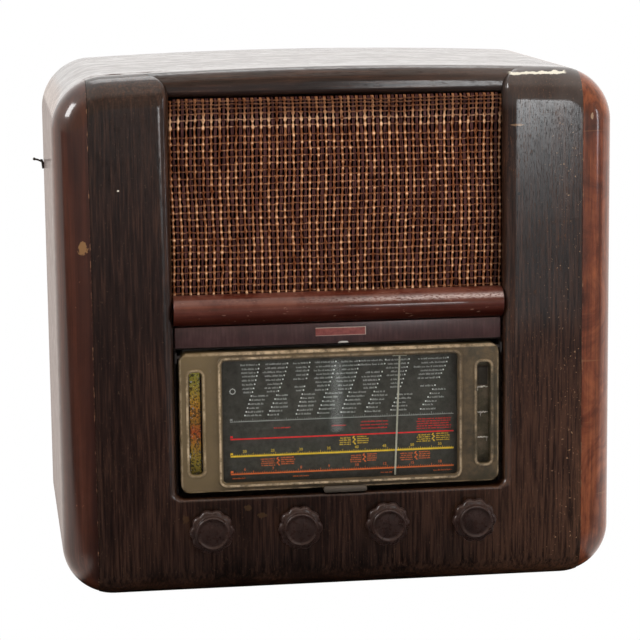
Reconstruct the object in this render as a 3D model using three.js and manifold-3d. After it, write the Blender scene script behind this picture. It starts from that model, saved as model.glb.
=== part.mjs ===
// Large wooden table radio with a tilting bakelite dial, built as an assembly of separate pieces.
// Millimetres. +Z is up, the front faces -Y, and +X is to the right of someone facing the front.
// The origin is at the middle of the footprint, on the surface that the radio stands on.
import * as THREE from 'three';
import { mergeVertices } from 'three/addons/utils/BufferGeometryUtils.js';
import Module from 'manifold-3d';

const wasm = await Module();
wasm.setup();

// ---------------------------------------------------------------- driving dimensions
const WIDTH = 550;
const SIDE_HEIGHT = 508; // cabinet body at its sides, without the feet
const CROWN = 8; // rise of the top at the middle
const DEPTH = 316; // cabinet body, front face to back edge
const FOOT = 4; // height of the feet
const KNOB_PROUD = 20; // knob face ahead of the cabinet front
const WALL = 12; // plywood of the case
const CORNER = 50; // outline corner radius, seen from the front
const ROLL = 32; // radius of the rolled front edge
const GAP = 0.3; // clearance between pieces that meet
const POST_INSET = 34; // width of the corner posts, seen from the front

const FRONT = KNOB_PROUD - (DEPTH + KNOB_PROUD) / 2;
const BACK = FRONT + DEPTH;
const HALF = WIDTH / 2;
const SIDE_TOP = FOOT + SIDE_HEIGHT;

const RECESS_HALF = 163; // half width of the recess between the pillars
const RECESS_ROLL = 14; // rounding of the pillars' inner edges
const RECESS_DEPTH = 17;
const LEDGE_Z = 101.5; // floor of the recess, just under the dial
const LEDGE_ROLL = 5;
const SHOULDER = 22; // rounding of each pillar's upper inner corner
const RAIL_LOW = 493; // lower edge of the top rail, which is the cloth's upper edge
const RAIL_SETBACK = 14;

const BAFFLE_THICK = 12;
const BAFFLE_HALF = RECESS_HALF + 14;
const BAFFLE_TOP = 489;
const CLOTH_LOW = 296;
const CLOTH_THICK = 2;
const MOULDING_LOW = 271.5;
const MOULDING_HIGH = 302;
const STRIP_LOW = 250;
const STRIP_HIGH = MOULDING_LOW - 0.7;
const STRIP_THICK = 5;

const DIAL_HALF = 158.5;
const DIAL_LOW = 106.6;
const DIAL_HIGH = 245.7;
const DIAL_SETBACK = 4.4; // dial face behind the cabinet front
const DIAL_DEPTH = 26;
const DIAL_WALL = 4;
const DIAL_MIDDLE = (DIAL_LOW + DIAL_HIGH) / 2;
const WINDOW_HALF = 117;
const WINDOW_TALL = 122;
const BEAD_WIDE = 5;
const BEAD_PROUD = 1.4;
const SIDE_WINDOW_X = 143; // centre of the narrow window at each end of the dial
const SIDE_WINDOW_WIDE = 13;
const SIDE_WINDOW_TALL = 102;
const PIVOT_Z = 241; // the dial tilts about this line
const PIVOT_Y = FRONT + 12;

const KNOB_Z = 71;
const KNOB_PITCH = 87;
const KNOB_RADIUS = 22;
const KNOB_LOBES = 10;
const SHAFT_RADIUS = 3;

const CHASSIS_HALF = 205;
const CHASSIS_FRONT = FRONT + 44;
const CHASSIS_BACK = 76;
const CHASSIS_TOP = 93;
const CHASSIS_SHEET = 1.5;
const FLOOR = FOOT + WALL + GAP; // top of the case's bottom board, plus clearance

const SPEAKER_Z = 391;
const SPEAKER_RADIUS = 100;
const GANG_Z = 170;
const GANG_FRONT = -82;
const GANG_LONG = 70;
const DRUM_RADIUS = 71;
const PLATE_PITCH = 9; // the capacitor's plates
const PLATE_COUNT = 6;
const PLATE_THICK = 1.4;
const PLATE_RADIUS = 24;

const COVER_INSET = 12; // back cover, set in from the back edge
const COVER_THICK = 3;

// ---------------------------------------------------------------- solids
// Makes a solid from a closed geometry, turning its faces outwards if they point in.
function solid(geometry) {
  const bare = geometry.clone();
  bare.deleteAttribute('normal');
  bare.deleteAttribute('uv');
  const merged = mergeVertices(bare, 1e-4);
  const faces = new Uint32Array(merged.index.array);
  const points = new Float32Array(merged.attributes.position.array);
  const build = () => new wasm.Manifold(new wasm.Mesh({ numProp: 3, vertProperties: points, triVerts: faces }));
  const body = build();
  if (body.volume() > 0) {
    return body;
  }
  for (let i = 0; i < faces.length; i += 3) {
    [faces[i + 1], faces[i + 2]] = [faces[i + 2], faces[i + 1]];
  }
  return build();
}

function toGeometry(manifold) {
  const mesh = manifold.getMesh();
  const geometry = new THREE.BufferGeometry();
  geometry.setAttribute('position', new THREE.BufferAttribute(mesh.vertProperties, 3));
  geometry.setIndex(new THREE.BufferAttribute(mesh.triVerts, 1));
  geometry.computeVertexNormals();
  return geometry;
}

const cut = (body, ...tools) => tools.reduce((left, tool) => left.subtract(tool), body);
const join = (body, ...others) => others.reduce((sum, other) => sum.add(other), body);

function block(x0, x1, y0, y1, z0, z1) {
  const box = new THREE.BoxGeometry(x1 - x0, y1 - y0, z1 - z0);
  return solid(box.translate((x0 + x1) / 2, (y0 + y1) / 2, (z0 + z1) / 2));
}

function rodY(x, z, radius, y0, y1, sides = 24) {
  const rod = new THREE.CylinderGeometry(radius, radius, y1 - y0, sides);
  return solid(rod.translate(x, (y0 + y1) / 2, z));
}

function rodX(y, z, radius, x0, x1, sides = 20) {
  const rod = new THREE.CylinderGeometry(radius, radius, x1 - x0, sides);
  return solid(rod.rotateZ(Math.PI / 2).translate((x0 + x1) / 2, y, z));
}

// A shape drawn in X and Z, made into a plate from y0 to y1.
function plateY(shape, y0, y1, curveSegments = 6) {
  const plate = new THREE.ExtrudeGeometry(shape, { depth: y1 - y0, bevelEnabled: false, curveSegments });
  return solid(plate.rotateX(Math.PI / 2).translate(0, y1, 0));
}

// A profile of [radius, height] points turned about +Z, standing at x, y, z.
function turnedZ(profile, x, y, z, sides = 20) {
  const points = profile.map(([radius, height]) => new THREE.Vector2(radius, height));
  return solid(new THREE.LatheGeometry(points, sides).rotateX(Math.PI / 2).translate(x, y, z));
}

// A profile of [radius, distance] points turned about +Y, starting at y.
function turnedY(profile, x, y, z, sides = 32) {
  const points = profile.map(([radius, distance]) => new THREE.Vector2(radius, distance));
  return solid(new THREE.LatheGeometry(points, sides).translate(x, y, z));
}

function roundedRect(x0, x1, z0, z1, radius, shape = new THREE.Shape()) {
  shape.moveTo(x0 + radius, z0);
  shape.lineTo(x1 - radius, z0);
  shape.absarc(x1 - radius, z0 + radius, radius, -Math.PI / 2, 0, false);
  shape.lineTo(x1, z1 - radius);
  shape.absarc(x1 - radius, z1 - radius, radius, 0, Math.PI / 2, false);
  shape.lineTo(x0 + radius, z1);
  shape.absarc(x0 + radius, z1 - radius, radius, Math.PI / 2, Math.PI, false);
  shape.lineTo(x0, z0 + radius);
  shape.absarc(x0 + radius, z0 + radius, radius, Math.PI, Math.PI * 1.5, false);
  return shape;
}

function arc(x, z, radius, fromDegrees, toDegrees, steps) {
  const points = [];
  for (let i = 0; i <= steps; i += 1) {
    const angle = THREE.MathUtils.degToRad(fromDegrees + (toDegrees - fromDegrees) * i / steps);
    points.push([x + radius * Math.cos(angle), z + radius * Math.sin(angle)]);
  }
  return points;
}

// Skins rings of [x, z] points, each at its own y, front first. All run anticlockwise seen from the front.
function loft(rings) {
  const count = rings[0].outline.length;
  const positions = rings.flatMap(({ y, outline }) => outline.flatMap(([x, z]) => [x, y, z]));
  const faces = [];
  for (let ring = 0; ring < rings.length - 1; ring += 1) {
    for (let i = 0; i < count; i += 1) {
      const next = (i + 1) % count;
      const near = ring * count;
      const far = near + count;
      faces.push(near + i, far + i, far + next, near + i, far + next, near + next);
    }
  }
  const flat = (outline) => outline.map(([x, z]) => new THREE.Vector2(x, z));
  const last = (rings.length - 1) * count;
  for (const [a, b, c] of THREE.ShapeUtils.triangulateShape(flat(rings[0].outline), [])) {
    faces.push(a, b, c);
  }
  for (const [a, b, c] of THREE.ShapeUtils.triangulateShape(flat(rings.at(-1).outline), [])) {
    faces.push(last + a, last + c, last + b);
  }
  const geometry = new THREE.BufferGeometry();
  geometry.setAttribute('position', new THREE.Float32BufferAttribute(positions, 3));
  geometry.setIndex(faces);
  return solid(geometry);
}

// ---------------------------------------------------------------- materials and the assembly
const paint = (color, roughness, metalness = 0) => (
  new THREE.MeshStandardMaterial({ color, roughness, metalness })
);
const materials = {
  walnut: paint(0x5a2a18, 0.3),
  darkVeneer: paint(0x221917, 0.35),
  moulding: paint(0x43201a, 0.3),
  plywood: paint(0x9a7b56, 0.8),
  cloth: paint(0x6a4024, 0.9),
  hardboard: paint(0x5d4331, 0.85),
  bakelite: paint(0x241a19, 0.35),
  dialBakelite: paint(0x37302a, 0.4),
  enamel: paint(0x7a2a22, 0.4),
  scale: paint(0x10181a, 0.5),
  pointer: paint(0xdcdcd4, 0.5),
  toneStrip: paint(0xa86a1c, 0.5),
  glass: new THREE.MeshStandardMaterial({ color: 0xb8c4c0, roughness: 0.1, transparent: true, opacity: 0.3 }),
  steel: paint(0x8d8f92, 0.45, 1),
  plated: paint(0x9c9470, 0.5, 1),
  aluminium: paint(0xb4b6b8, 0.4, 1),
  laminations: paint(0x2c2c2e, 0.6, 0.5),
  paperCone: paint(0x2b2623, 0.95),
  rubber: paint(0x191817, 0.9),
  flex: paint(0x3a2a20, 0.8),
};

const radio = new THREE.Group();

function piece(name, body, material) {
  const mesh = new THREE.Mesh(toGeometry(body), material);
  mesh.name = name;
  radio.add(mesh);
}

// ---------------------------------------------------------------- cabinet
// The cabinet's front outline, drawn in by inset on every side.
function cabinetOutline(inset) {
  const half = HALF - inset;
  const low = FOOT + inset;
  const high = SIDE_TOP - inset;
  const radius = CORNER - inset;
  const topSteps = 12;
  const straight = half - radius;
  const top = [];
  for (let i = 1; i < topSteps; i += 1) {
    top.push([straight - 2 * straight * i / topSteps, high]);
  }
  const points = [
    ...arc(straight, low + radius, radius, -90, 0, 8),
    ...arc(straight, high - radius, radius, 0, 90, 8),
    ...top,
    ...arc(-straight, high - radius, radius, 90, 180, 8),
    ...arc(-straight, low + radius, radius, 180, 270, 8),
  ];
  const middle = (low + high) / 2;
  return points.map(([x, z]) => [x, z > middle ? z + CROWN * (1 - (x / half) ** 2) : z]);
}

// A slab with the cabinet's outline whose front edge is rolled over at the given radius.
function rolledSlab(front, back, roll) {
  const steps = 6;
  const rings = [];
  for (let i = 0; i <= steps; i += 1) {
    const angle = Math.PI / 2 * i / steps;
    rings.push({
      y: front + roll * (1 - Math.cos(angle)),
      outline: cabinetOutline(roll * (1 - Math.sin(angle))),
    });
  }
  if (back > front + roll) {
    rings.push({ y: back, outline: cabinetOutline(0) });
  }
  return loft(rings);
}

// The recess between the pillars: open at the top, with spread widening it on every side.
function recessOutline(spread) {
  const half = RECESS_HALF + spread;
  const floor = LEDGE_Z - spread * LEDGE_ROLL / RECESS_ROLL;
  const floorRadius = 8;
  const shoulderTop = SIDE_TOP + 4;
  const above = SIDE_TOP + 60;
  const low = shoulderTop - SHOULDER;
  return [
    ...arc(half - floorRadius, floor + floorRadius, floorRadius, -90, 0, 4),
    ...arc(half + SHOULDER, low, SHOULDER, 180, 90, 6),
    [half + SHOULDER, above],
    [-half - SHOULDER, above],
    ...arc(-half - SHOULDER, low, SHOULDER, 90, 0, 6),
    ...arc(-half + floorRadius, floor + floorRadius, floorRadius, 180, 270, 4),
  ];
}

function recessCutter() {
  const steps = 5;
  const rings = [{ y: FRONT - 5, outline: recessOutline(RECESS_ROLL) }];
  for (let i = 0; i <= steps; i += 1) {
    const angle = Math.PI / 2 * i / steps;
    rings.push({
      y: FRONT + RECESS_ROLL * (1 - Math.cos(angle)),
      outline: recessOutline(RECESS_ROLL * (1 - Math.sin(angle))),
    });
  }
  rings.push({ y: FRONT + ROLL + 5, outline: recessOutline(0) });
  return loft(rings);
}

function makeCase() {
  const front = FRONT + ROLL + GAP;
  const rebate = BACK - COVER_INSET - COVER_THICK;
  const shell = loft([
    { y: front, outline: cabinetOutline(0) },
    { y: BACK, outline: cabinetOutline(0) },
  ]);
  const inside = loft([
    { y: front - 5, outline: cabinetOutline(WALL) },
    { y: BACK + 5, outline: cabinetOutline(WALL) },
  ]);
  const coverSeat = loft([
    { y: rebate, outline: cabinetOutline(WALL - 4) },
    { y: BACK + 5, outline: cabinetOutline(WALL - 4) },
  ]);
  return cut(shell, inside, coverSeat);
}

function makeFrontFrame() {
  const seam = HALF - POST_INSET - GAP;
  const slab = rolledSlab(FRONT, FRONT + ROLL, ROLL);
  const middle = block(-seam, seam, FRONT - 5, FRONT + ROLL + 5, 0, SIDE_TOP + 30);
  const rebate = block(-BAFFLE_HALF - GAP, BAFFLE_HALF + GAP, FRONT + RECESS_DEPTH, FRONT + ROLL + 5,
    LEDGE_Z - 8, BAFFLE_TOP + GAP);
  const shaftHoles = knobPositions.map((x) => rodY(x, KNOB_Z, 6, FRONT - 5, FRONT + ROLL + 5, 16));
  return cut(slab.intersect(middle), recessCutter(), rebate, ...shaftHoles);
}

function makePost(side) {
  const slab = rolledSlab(FRONT, FRONT + ROLL, ROLL);
  const inner = side * (HALF - POST_INSET);
  const outer = side * (HALF + 5);
  return slab.intersect(block(Math.min(inner, outer), Math.max(inner, outer), FRONT - 5, FRONT + ROLL + 5,
    0, SIDE_TOP + 5));
}

function makeTopRail() {
  const slab = rolledSlab(FRONT + RAIL_SETBACK, FRONT + ROLL, ROLL - RAIL_SETBACK);
  const mouth = loft([
    { y: FRONT, outline: recessOutline(-GAP) },
    { y: FRONT + ROLL + 5, outline: recessOutline(-GAP) },
  ]);
  const strip = block(-RECESS_HALF - SHOULDER, RECESS_HALF + SHOULDER, FRONT, FRONT + ROLL, RAIL_LOW,
    SIDE_TOP + CROWN + 5);
  return slab.intersect(mouth).intersect(strip);
}

function makeBaffle() {
  const front = FRONT + RECESS_DEPTH + GAP;
  const back = front + BAFFLE_THICK;
  const board = block(-BAFFLE_HALF, BAFFLE_HALF, front, back, LEDGE_Z - 7, BAFFLE_TOP);
  const speakerHole = rodY(0, SPEAKER_Z, SPEAKER_RADIUS - 14, front - 5, back + 5, 36);
  const dialOpening = block(-DIAL_HALF - 2, DIAL_HALF + 2, front - 5, back + 5, LEDGE_Z, STRIP_LOW - 2);
  return cut(board, speakerHole, dialOpening);
}

// Half an ellipse drawn in Y and Z, run along X.
function makeMoulding() {
  const half = RECESS_HALF - GAP;
  const depth = 16;
  const backFace = FRONT + RECESS_DEPTH - CLOTH_THICK - GAP;
  const tall = (MOULDING_HIGH - MOULDING_LOW) / 2;
  const shape = new THREE.Shape();
  shape.absellipse(0, 0, depth, tall, -Math.PI / 2, Math.PI / 2, false, 0);
  const bar = new THREE.ExtrudeGeometry(shape, { depth: 2 * half, bevelEnabled: false, curveSegments: 14 });
  bar.rotateX(Math.PI / 2).rotateZ(-Math.PI / 2);
  return solid(bar.translate(half, backFace, MOULDING_LOW + tall));
}

function makeBackCover() {
  const y1 = BACK - COVER_INSET;
  const outline = cabinetOutline(WALL - 4 + GAP).map(([x, z]) => new THREE.Vector2(x, z));
  const shape = new THREE.Shape(outline);
  for (let row = 0; row < 3; row += 1) {
    for (let column = -3; column <= 3; column += 1) {
      const x = column * 56;
      const z = 420 - row * 40;
      shape.holes.push(roundedRect(x - 18, x + 18, z - 4, z + 4, 3.9, new THREE.Path()));
    }
  }
  shape.holes.push(roundedRect(-150, -60, 50, 80, 3, new THREE.Path()));
  shape.holes.push(roundedRect(146, 162, 52, 68, 7.9, new THREE.Path()));
  for (const [x, z] of coverScrews) {
    shape.holes.push(roundedRect(x - 2.5, x + 2.5, z - 2.5, z + 2.5, 2.4, new THREE.Path()));
  }
  return plateY(shape, y1 - COVER_THICK, y1, 1);
}

const knobPositions = [-1.5, -0.5, 0.5, 1.5].map((step) => step * KNOB_PITCH);
const coverScrews = [-1, 1].flatMap((side) => [[side * 240, 80], [side * 240, 440]]);

function makeCabinet() {
  piece('cabinet_case', makeCase(), materials.walnut);
  piece('corner_post_left', makePost(-1), materials.walnut);
  piece('corner_post_right', makePost(1), materials.walnut);
  piece('front_frame', makeFrontFrame(), materials.darkVeneer);
  piece('top_rail', makeTopRail(), materials.darkVeneer);
  piece('baffle_board', makeBaffle(), materials.plywood);
  const clothBack = FRONT + RECESS_DEPTH;
  piece('speaker_cloth', block(-RECESS_HALF + GAP, RECESS_HALF - GAP, clothBack - CLOTH_THICK, clothBack,
    CLOTH_LOW, RAIL_LOW - GAP), materials.cloth);
  piece('cloth_moulding', makeMoulding(), materials.moulding);
  const stripHalf = RECESS_HALF - 1.5;
  const stripFace = clothBack - STRIP_THICK;
  piece('badge_strip', block(-stripHalf, stripHalf, stripFace, clothBack, STRIP_LOW, STRIP_HIGH),
    materials.moulding);
  piece('blank_badge', block(-23.3, 26.6, stripFace - 1.1, stripFace - GAP, 257.8, 266.2), materials.enamel);
  piece('back_cover', makeBackCover(), materials.hardboard);
}

function makeFeetAndScrews() {
  const footProfile = [[0, 0], [12, 0], [13, 1], [13, FOOT - GAP], [0, FOOT - GAP]];
  const corners = { front_left: [-1, -1], front_right: [1, -1], back_left: [-1, 1], back_right: [1, 1] };
  for (const [corner, [side, end]] of Object.entries(corners)) {
    const x = side * 200;
    const y = end < 0 ? FRONT + 60 : BACK - 30;
    piece(`foot_${corner}`, turnedZ(footProfile, x, y, 0), materials.rubber);
  }
  coverScrews.forEach(([x, z], i) => {
    const face = BACK - COVER_INSET + GAP;
    const head = turnedY([[0, 2.2], [2.5, 1.9], [4.2, 1], [4.8, 0], [0, 0]], x, face, z, 14);
    const shank = rodY(x, z, 1.9, face - COVER_THICK - 2 * GAP - 3, face + 1, 10);
    piece(`cover_screw_${i + 1}`, join(head, shank), materials.plated);
  });
}

// ---------------------------------------------------------------- loudspeaker
function makeLoudspeaker() {
  const face = FRONT + RECESS_DEPTH + GAP + BAFFLE_THICK + GAP;
  const rim = SPEAKER_RADIUS;
  const basket = turnedY([
    [rim - 12, 0], [rim, 0], [rim, 3], [rim - 6, 4], [rim - 16, 26], [48, 60], [30, 62],
    [30, 60], [46, 58], [rim - 19, 25], [rim - 12, 4], [rim - 12, 0],
  ], 0, face, SPEAKER_Z, 28);
  const windows = [0, 1, 2, 3].map((i) => {
    const angle = Math.PI / 4 + i * Math.PI / 2;
    const window = new THREE.BoxGeometry(46, 22, 60).translate(0, face + 38, 68);
    return solid(window.rotateY(angle).translate(0, 0, SPEAKER_Z));
  });
  piece('speaker_basket', cut(basket, ...windows), materials.plated);
  piece('speaker_cone', turnedY([
    [0, 36], [16, 34], [20, 41], [26, 42], [70, 10], [86, 2], [88, 1], [88, 2.5], [71, 12.5], [26, 45],
    [0, 45],
  ].map(([r, y]) => [r * 0.985, y]), 0, face, SPEAKER_Z, 28), materials.paperCone);
  piece('speaker_magnet', turnedY([
    [0, 0], [44, 0], [45, 1], [45, 8], [36, 10], [36, 34], [34, 36], [0, 36],
  ], 0, face + 62 + GAP, SPEAKER_Z, 24), materials.steel);
}

// ---------------------------------------------------------------- chassis and what stands on it
function makeChassis() {
  const outer = block(-CHASSIS_HALF, CHASSIS_HALF, CHASSIS_FRONT, CHASSIS_BACK, FLOOR, CHASSIS_TOP);
  const sheet = CHASSIS_SHEET;
  const inner = block(-CHASSIS_HALF + sheet, CHASSIS_HALF - sheet, CHASSIS_FRONT + sheet, CHASSIS_BACK - sheet,
    FLOOR - 5, CHASSIS_TOP - sheet);
  const holes = knobPositions.map((x) => rodY(x, KNOB_Z, 5, CHASSIS_FRONT - 5, CHASSIS_FRONT + 5, 16));
  piece('chassis', cut(outer, inner, ...holes), materials.plated);
}

// A bottle-shaped valve on a moulded base.
function valve(name, x, y, radius, tall) {
  const base = 22;
  const waist = radius * 0.62;
  const profile = [
    [0, 0], [waist + 2, 0], [waist + 2, base], [waist, base + 1], [radius * 0.8, base + tall * 0.18],
    [radius, base + tall * 0.4], [radius, base + tall * 0.62], [radius * 0.72, base + tall * 0.78],
    [radius * 0.66, base + tall * 0.92], [radius * 0.4, base + tall], [0, base + tall],
  ];
  piece(name, turnedZ(profile, x, y, CHASSIS_TOP + GAP, 12), materials.glass);
}

function makeTransformer(name, x, y, wide, deep, tall) {
  const z = CHASSIS_TOP + GAP;
  const core = block(x - wide / 2, x + wide / 2, y - deep / 4, y + deep / 4, z, z + tall);
  const coil = block(x - wide / 3, x + wide / 3, y - deep / 2, y + deep / 2, z + tall * 0.16, z + tall * 0.84);
  piece(name, join(core, coil), materials.laminations);
}

function makeCan(name, x, y) {
  const z = CHASSIS_TOP + GAP;
  const shape = roundedRect(-18, 18, -18, 18, 5);
  const can = new THREE.ExtrudeGeometry(shape, { depth: 82, bevelEnabled: false, curveSegments: 3 });
  piece(name, solid(can.translate(x, y, z)), materials.aluminium);
}

// The control body behind a knob's shaft, fixed inside the chassis front.
function makeControl(name, x, radius, deep) {
  const front = CHASSIS_FRONT + CHASSIS_SHEET + GAP;
  const body = rodY(x, KNOB_Z, radius, front, front + deep, 20);
  const bore = rodY(x, KNOB_Z, SHAFT_RADIUS + GAP, front - 5, front + deep - 3, 16);
  piece(name, cut(body, bore), materials.steel);
}

function makeChassisPieces() {
  makeTransformer('mains_transformer', 152, 22, 84, 80, 88);
  makeTransformer('output_transformer', 0, 42, 52, 44, 46);
  makeCan('if_can_first', -76, 34);
  makeCan('if_can_second', -170, 40);
  valve('valve_rectifier', 84, 44, 19, 84);
  valve('valve_output', 84, -26, 19, 84);
  valve('valve_converter', -62, -36, 17, 74);
  valve('valve_if', -124, 6, 17, 74);
  valve('valve_detector', -170, -30, 17, 74);
  makeControl('tone_control', knobPositions[0], 14, 14);
  makeControl('volume_control', knobPositions[1], 14, 14);
  makeControl('band_switch', knobPositions[3], 18, 46);
}

// ---------------------------------------------------------------- tuning capacitor and its drum
function halfDisc(radius, y, thick, up) {
  const shape = new THREE.Shape();
  const start = up ? 0 : Math.PI;
  shape.absarc(0, 0, radius, start, start + Math.PI, false);
  return plateY(shape, y, y + thick, 8).translate([0, 0, GANG_Z]);
}

function makeGang() {
  const half = 32;
  const low = CHASSIS_TOP + GAP;
  const seat = GANG_Z - 33;
  const back = GANG_FRONT + GANG_LONG;
  const bracketTop = block(-20, 20, GANG_FRONT, back, seat - 3, seat - GAP);
  const bracketLegs = [GANG_FRONT, back - 3].map((y) => block(-20, 20, y, y + 3, low, seat - 1));
  piece('gang_bracket', join(bracketTop, ...bracketLegs), materials.steel);

  const base = block(-half, half, GANG_FRONT, back, seat, seat + 3);
  const ends = [GANG_FRONT, back - 3].map((y) => block(-half, half, y, y + 3, seat, GANG_Z + 20));
  const rails = [-1, 1].map((side) => (
    block(side * 29 - 2, side * 29 + 2, GANG_FRONT, back, GANG_Z - 14, GANG_Z - 10)
  ));
  const bore = rodY(0, GANG_Z, 3 + GAP, GANG_FRONT - 5, back + 5, 16);
  const stators = [];
  const firstPlate = GANG_FRONT + 8;
  for (let i = 0; i < PLATE_COUNT - 1; i += 1) {
    const y = firstPlate + PLATE_PITCH * (i + 0.5);
    const plate = block(-28, 28, y, y + PLATE_THICK, GANG_Z - 24, GANG_Z - 6);
    stators.push(plate);
  }
  piece('gang_frame', cut(join(base, ...ends, ...rails, ...stators), bore), materials.aluminium);

  const rotorPlates = [];
  for (let i = 0; i < PLATE_COUNT; i += 1) {
    rotorPlates.push(halfDisc(PLATE_RADIUS, firstPlate + PLATE_PITCH * i, PLATE_THICK, false));
  }
  const spindle = rodY(0, GANG_Z, 3, -101, back + 4, 16);
  const meshed = join(spindle, ...rotorPlates).translate([0, 0, -GANG_Z]);
  piece('gang_rotor', meshed.rotate([0, 45, 0]).translate([0, 0, GANG_Z]), materials.aluminium);

  const drumProfile = [
    [3 + GAP, 0], [9, 0], [9, 3], [DRUM_RADIUS - 3, 3], [DRUM_RADIUS, 0.5], [DRUM_RADIUS - 2, 5],
    [DRUM_RADIUS, 9.5], [DRUM_RADIUS - 3, 7], [9, 7], [9, 10], [3 + GAP, 10], [3 + GAP, 0],
  ];
  piece('cord_drum', turnedY(drumProfile, 0, -100, GANG_Z, 32), materials.bakelite);
}

// ---------------------------------------------------------------- knobs and shafts
// The skirt has shallow round lobes and the face is a low dome with a rounded rim.
function makeKnob(x) {
  const sides = KNOB_LOBES * 4;
  const rings = [
    [KNOB_PROUD, 1, 0], [KNOB_PROUD - 1.2, 15, 0], [KNOB_PROUD - 2.6, 16.8, 0],
    [KNOB_PROUD - 5.4, 17.2, 0.3], [KNOB_PROUD - 7, KNOB_RADIUS - 1, 1],
    [KNOB_PROUD - 12.4, KNOB_RADIUS - 1, 1], [KNOB_PROUD - 15.5, 17.5, 0.4],
  ].map(([ahead, radius, lobe]) => {
    const outline = [];
    for (let i = 0; i < sides; i += 1) {
      const angle = 2 * Math.PI * i / sides;
      const r = radius + lobe * Math.cos(KNOB_LOBES * angle);
      outline.push([x + r * Math.cos(angle), KNOB_Z + r * Math.sin(angle)]);
    }
    return { y: FRONT - ahead, outline };
  });
  const bore = rodY(x, KNOB_Z, SHAFT_RADIUS + GAP, FRONT - KNOB_PROUD + 8, FRONT, 16);
  return cut(loft(rings), bore);
}

function makeControls() {
  ['tone', 'volume', 'tuning', 'band'].forEach((name, i) => {
    const x = knobPositions[i];
    const inner = name === 'tuning' ? 30 : 11;
    const front = FRONT - KNOB_PROUD + 8 + GAP;
    const back = CHASSIS_FRONT + CHASSIS_SHEET + GAP + inner - GAP;
    piece(`${name}_knob`, makeKnob(x), materials.bakelite);
    piece(`${name}_shaft`, rodY(x, KNOB_Z, SHAFT_RADIUS, front, back, 16), materials.steel);
  });
}

// ---------------------------------------------------------------- tilting dial
function makeDialHousing() {
  const face = FRONT + DIAL_SETBACK;
  const back = face + DIAL_DEPTH;
  const rounding = 3;
  const plate = (inset, radius) => {
    const shape = roundedRect(-DIAL_HALF + inset, DIAL_HALF - inset, DIAL_LOW + inset, DIAL_HIGH - inset, radius);
    return shape.getPoints(3).slice(0, -1).map((p) => [p.x, p.y]);
  };
  const rings = [0, 1, 2].map((i) => {
    const angle = Math.PI / 2 * i / 2;
    return {
      y: face + rounding * (1 - Math.cos(angle)),
      outline: plate(rounding * (1 - Math.sin(angle)), 9 - rounding * (1 - Math.sin(angle))),
    };
  });
  rings.push({ y: back, outline: plate(0, 9) });
  const hollow = block(-DIAL_HALF + DIAL_WALL, DIAL_HALF - DIAL_WALL, face + DIAL_WALL, back + 5,
    DIAL_LOW + DIAL_WALL, DIAL_HIGH - DIAL_WALL);
  const bead = (x, halfWide, tall, ring, proud) => {
    const z0 = DIAL_MIDDLE - tall / 2;
    const z1 = DIAL_MIDDLE + tall / 2;
    const outer = roundedRect(x - halfWide - ring, x + halfWide + ring, z0 - ring, z1 + ring, 7);
    return plateY(outer, face - proud, face + 1, 3);
  };
  const opening = (x, halfWide, tall) => {
    const shape = roundedRect(x - halfWide, x + halfWide, DIAL_MIDDLE - tall / 2, DIAL_MIDDLE + tall / 2, 4);
    return plateY(shape, face - 5, face + DIAL_WALL + 2, 2);
  };
  const sideHalf = SIDE_WINDOW_WIDE / 2;
  const sides = [-SIDE_WINDOW_X, SIDE_WINDOW_X];
  const beads = [bead(0, WINDOW_HALF, WINDOW_TALL, BEAD_WIDE, BEAD_PROUD)];
  sides.forEach((x) => beads.push(bead(x, sideHalf, SIDE_WINDOW_TALL, 3.5, 0.9)));
  const openings = [opening(0, WINDOW_HALF, WINDOW_TALL)];
  sides.forEach((x) => openings.push(opening(x, sideHalf, SIDE_WINDOW_TALL)));
  const pivotHole = rodX(PIVOT_Y, PIVOT_Z, 2.5 + GAP, -DIAL_HALF - 5, DIAL_HALF + 5, 14);
  return cut(join(loft(rings), ...beads), hollow, ...openings, pivotHole);
}

function makePivot(side) {
  const inner = DIAL_HALF + 1.5;
  const outer = inner + 2;
  const plate = block(inner, outer, FRONT + 8, FRONT + RECESS_DEPTH, PIVOT_Z - 5, PIVOT_Z + 5);
  const pin = rodX(PIVOT_Y, PIVOT_Z, 2.5, DIAL_HALF - DIAL_WALL + 0.5, outer - 0.5, 14);
  return side > 0 ? join(plate, pin) : join(plate, pin).mirror([1, 0, 0]);
}

// The finger tab is an angle strip: a lip under the dial and a short rise in front of it.
function makePullTab() {
  const lip = block(-18, 25, FRONT - 0.4, FRONT + 14, LEDGE_Z + 0.9, DIAL_LOW - GAP);
  const rise = block(-18, 25, FRONT - 0.4, FRONT + DIAL_SETBACK - GAP, LEDGE_Z + 2, LEDGE_Z + 7);
  return join(lip, rise);
}

// The pointer leans a little to the right at its top, and hangs from a carriage above the window.
const POINTER_X = 57.5;
const POINTER_LEAN = THREE.MathUtils.degToRad(2.5);

function makePointer() {
  const tall = WINDOW_TALL;
  const needle = new THREE.BoxGeometry(1.6, 1, tall).rotateY(POINTER_LEAN);
  const y = FRONT + DIAL_SETBACK + 7.5;
  const body = solid(needle.translate(POINTER_X, y, DIAL_MIDDLE));
  const top = DIAL_MIDDLE + tall / 2;
  const topX = POINTER_X + Math.sin(POINTER_LEAN) * tall / 2;
  return join(body, block(topX - 7, topX + 7, y - 0.5, y + 1.5, top - 2, top + 4));
}

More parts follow.
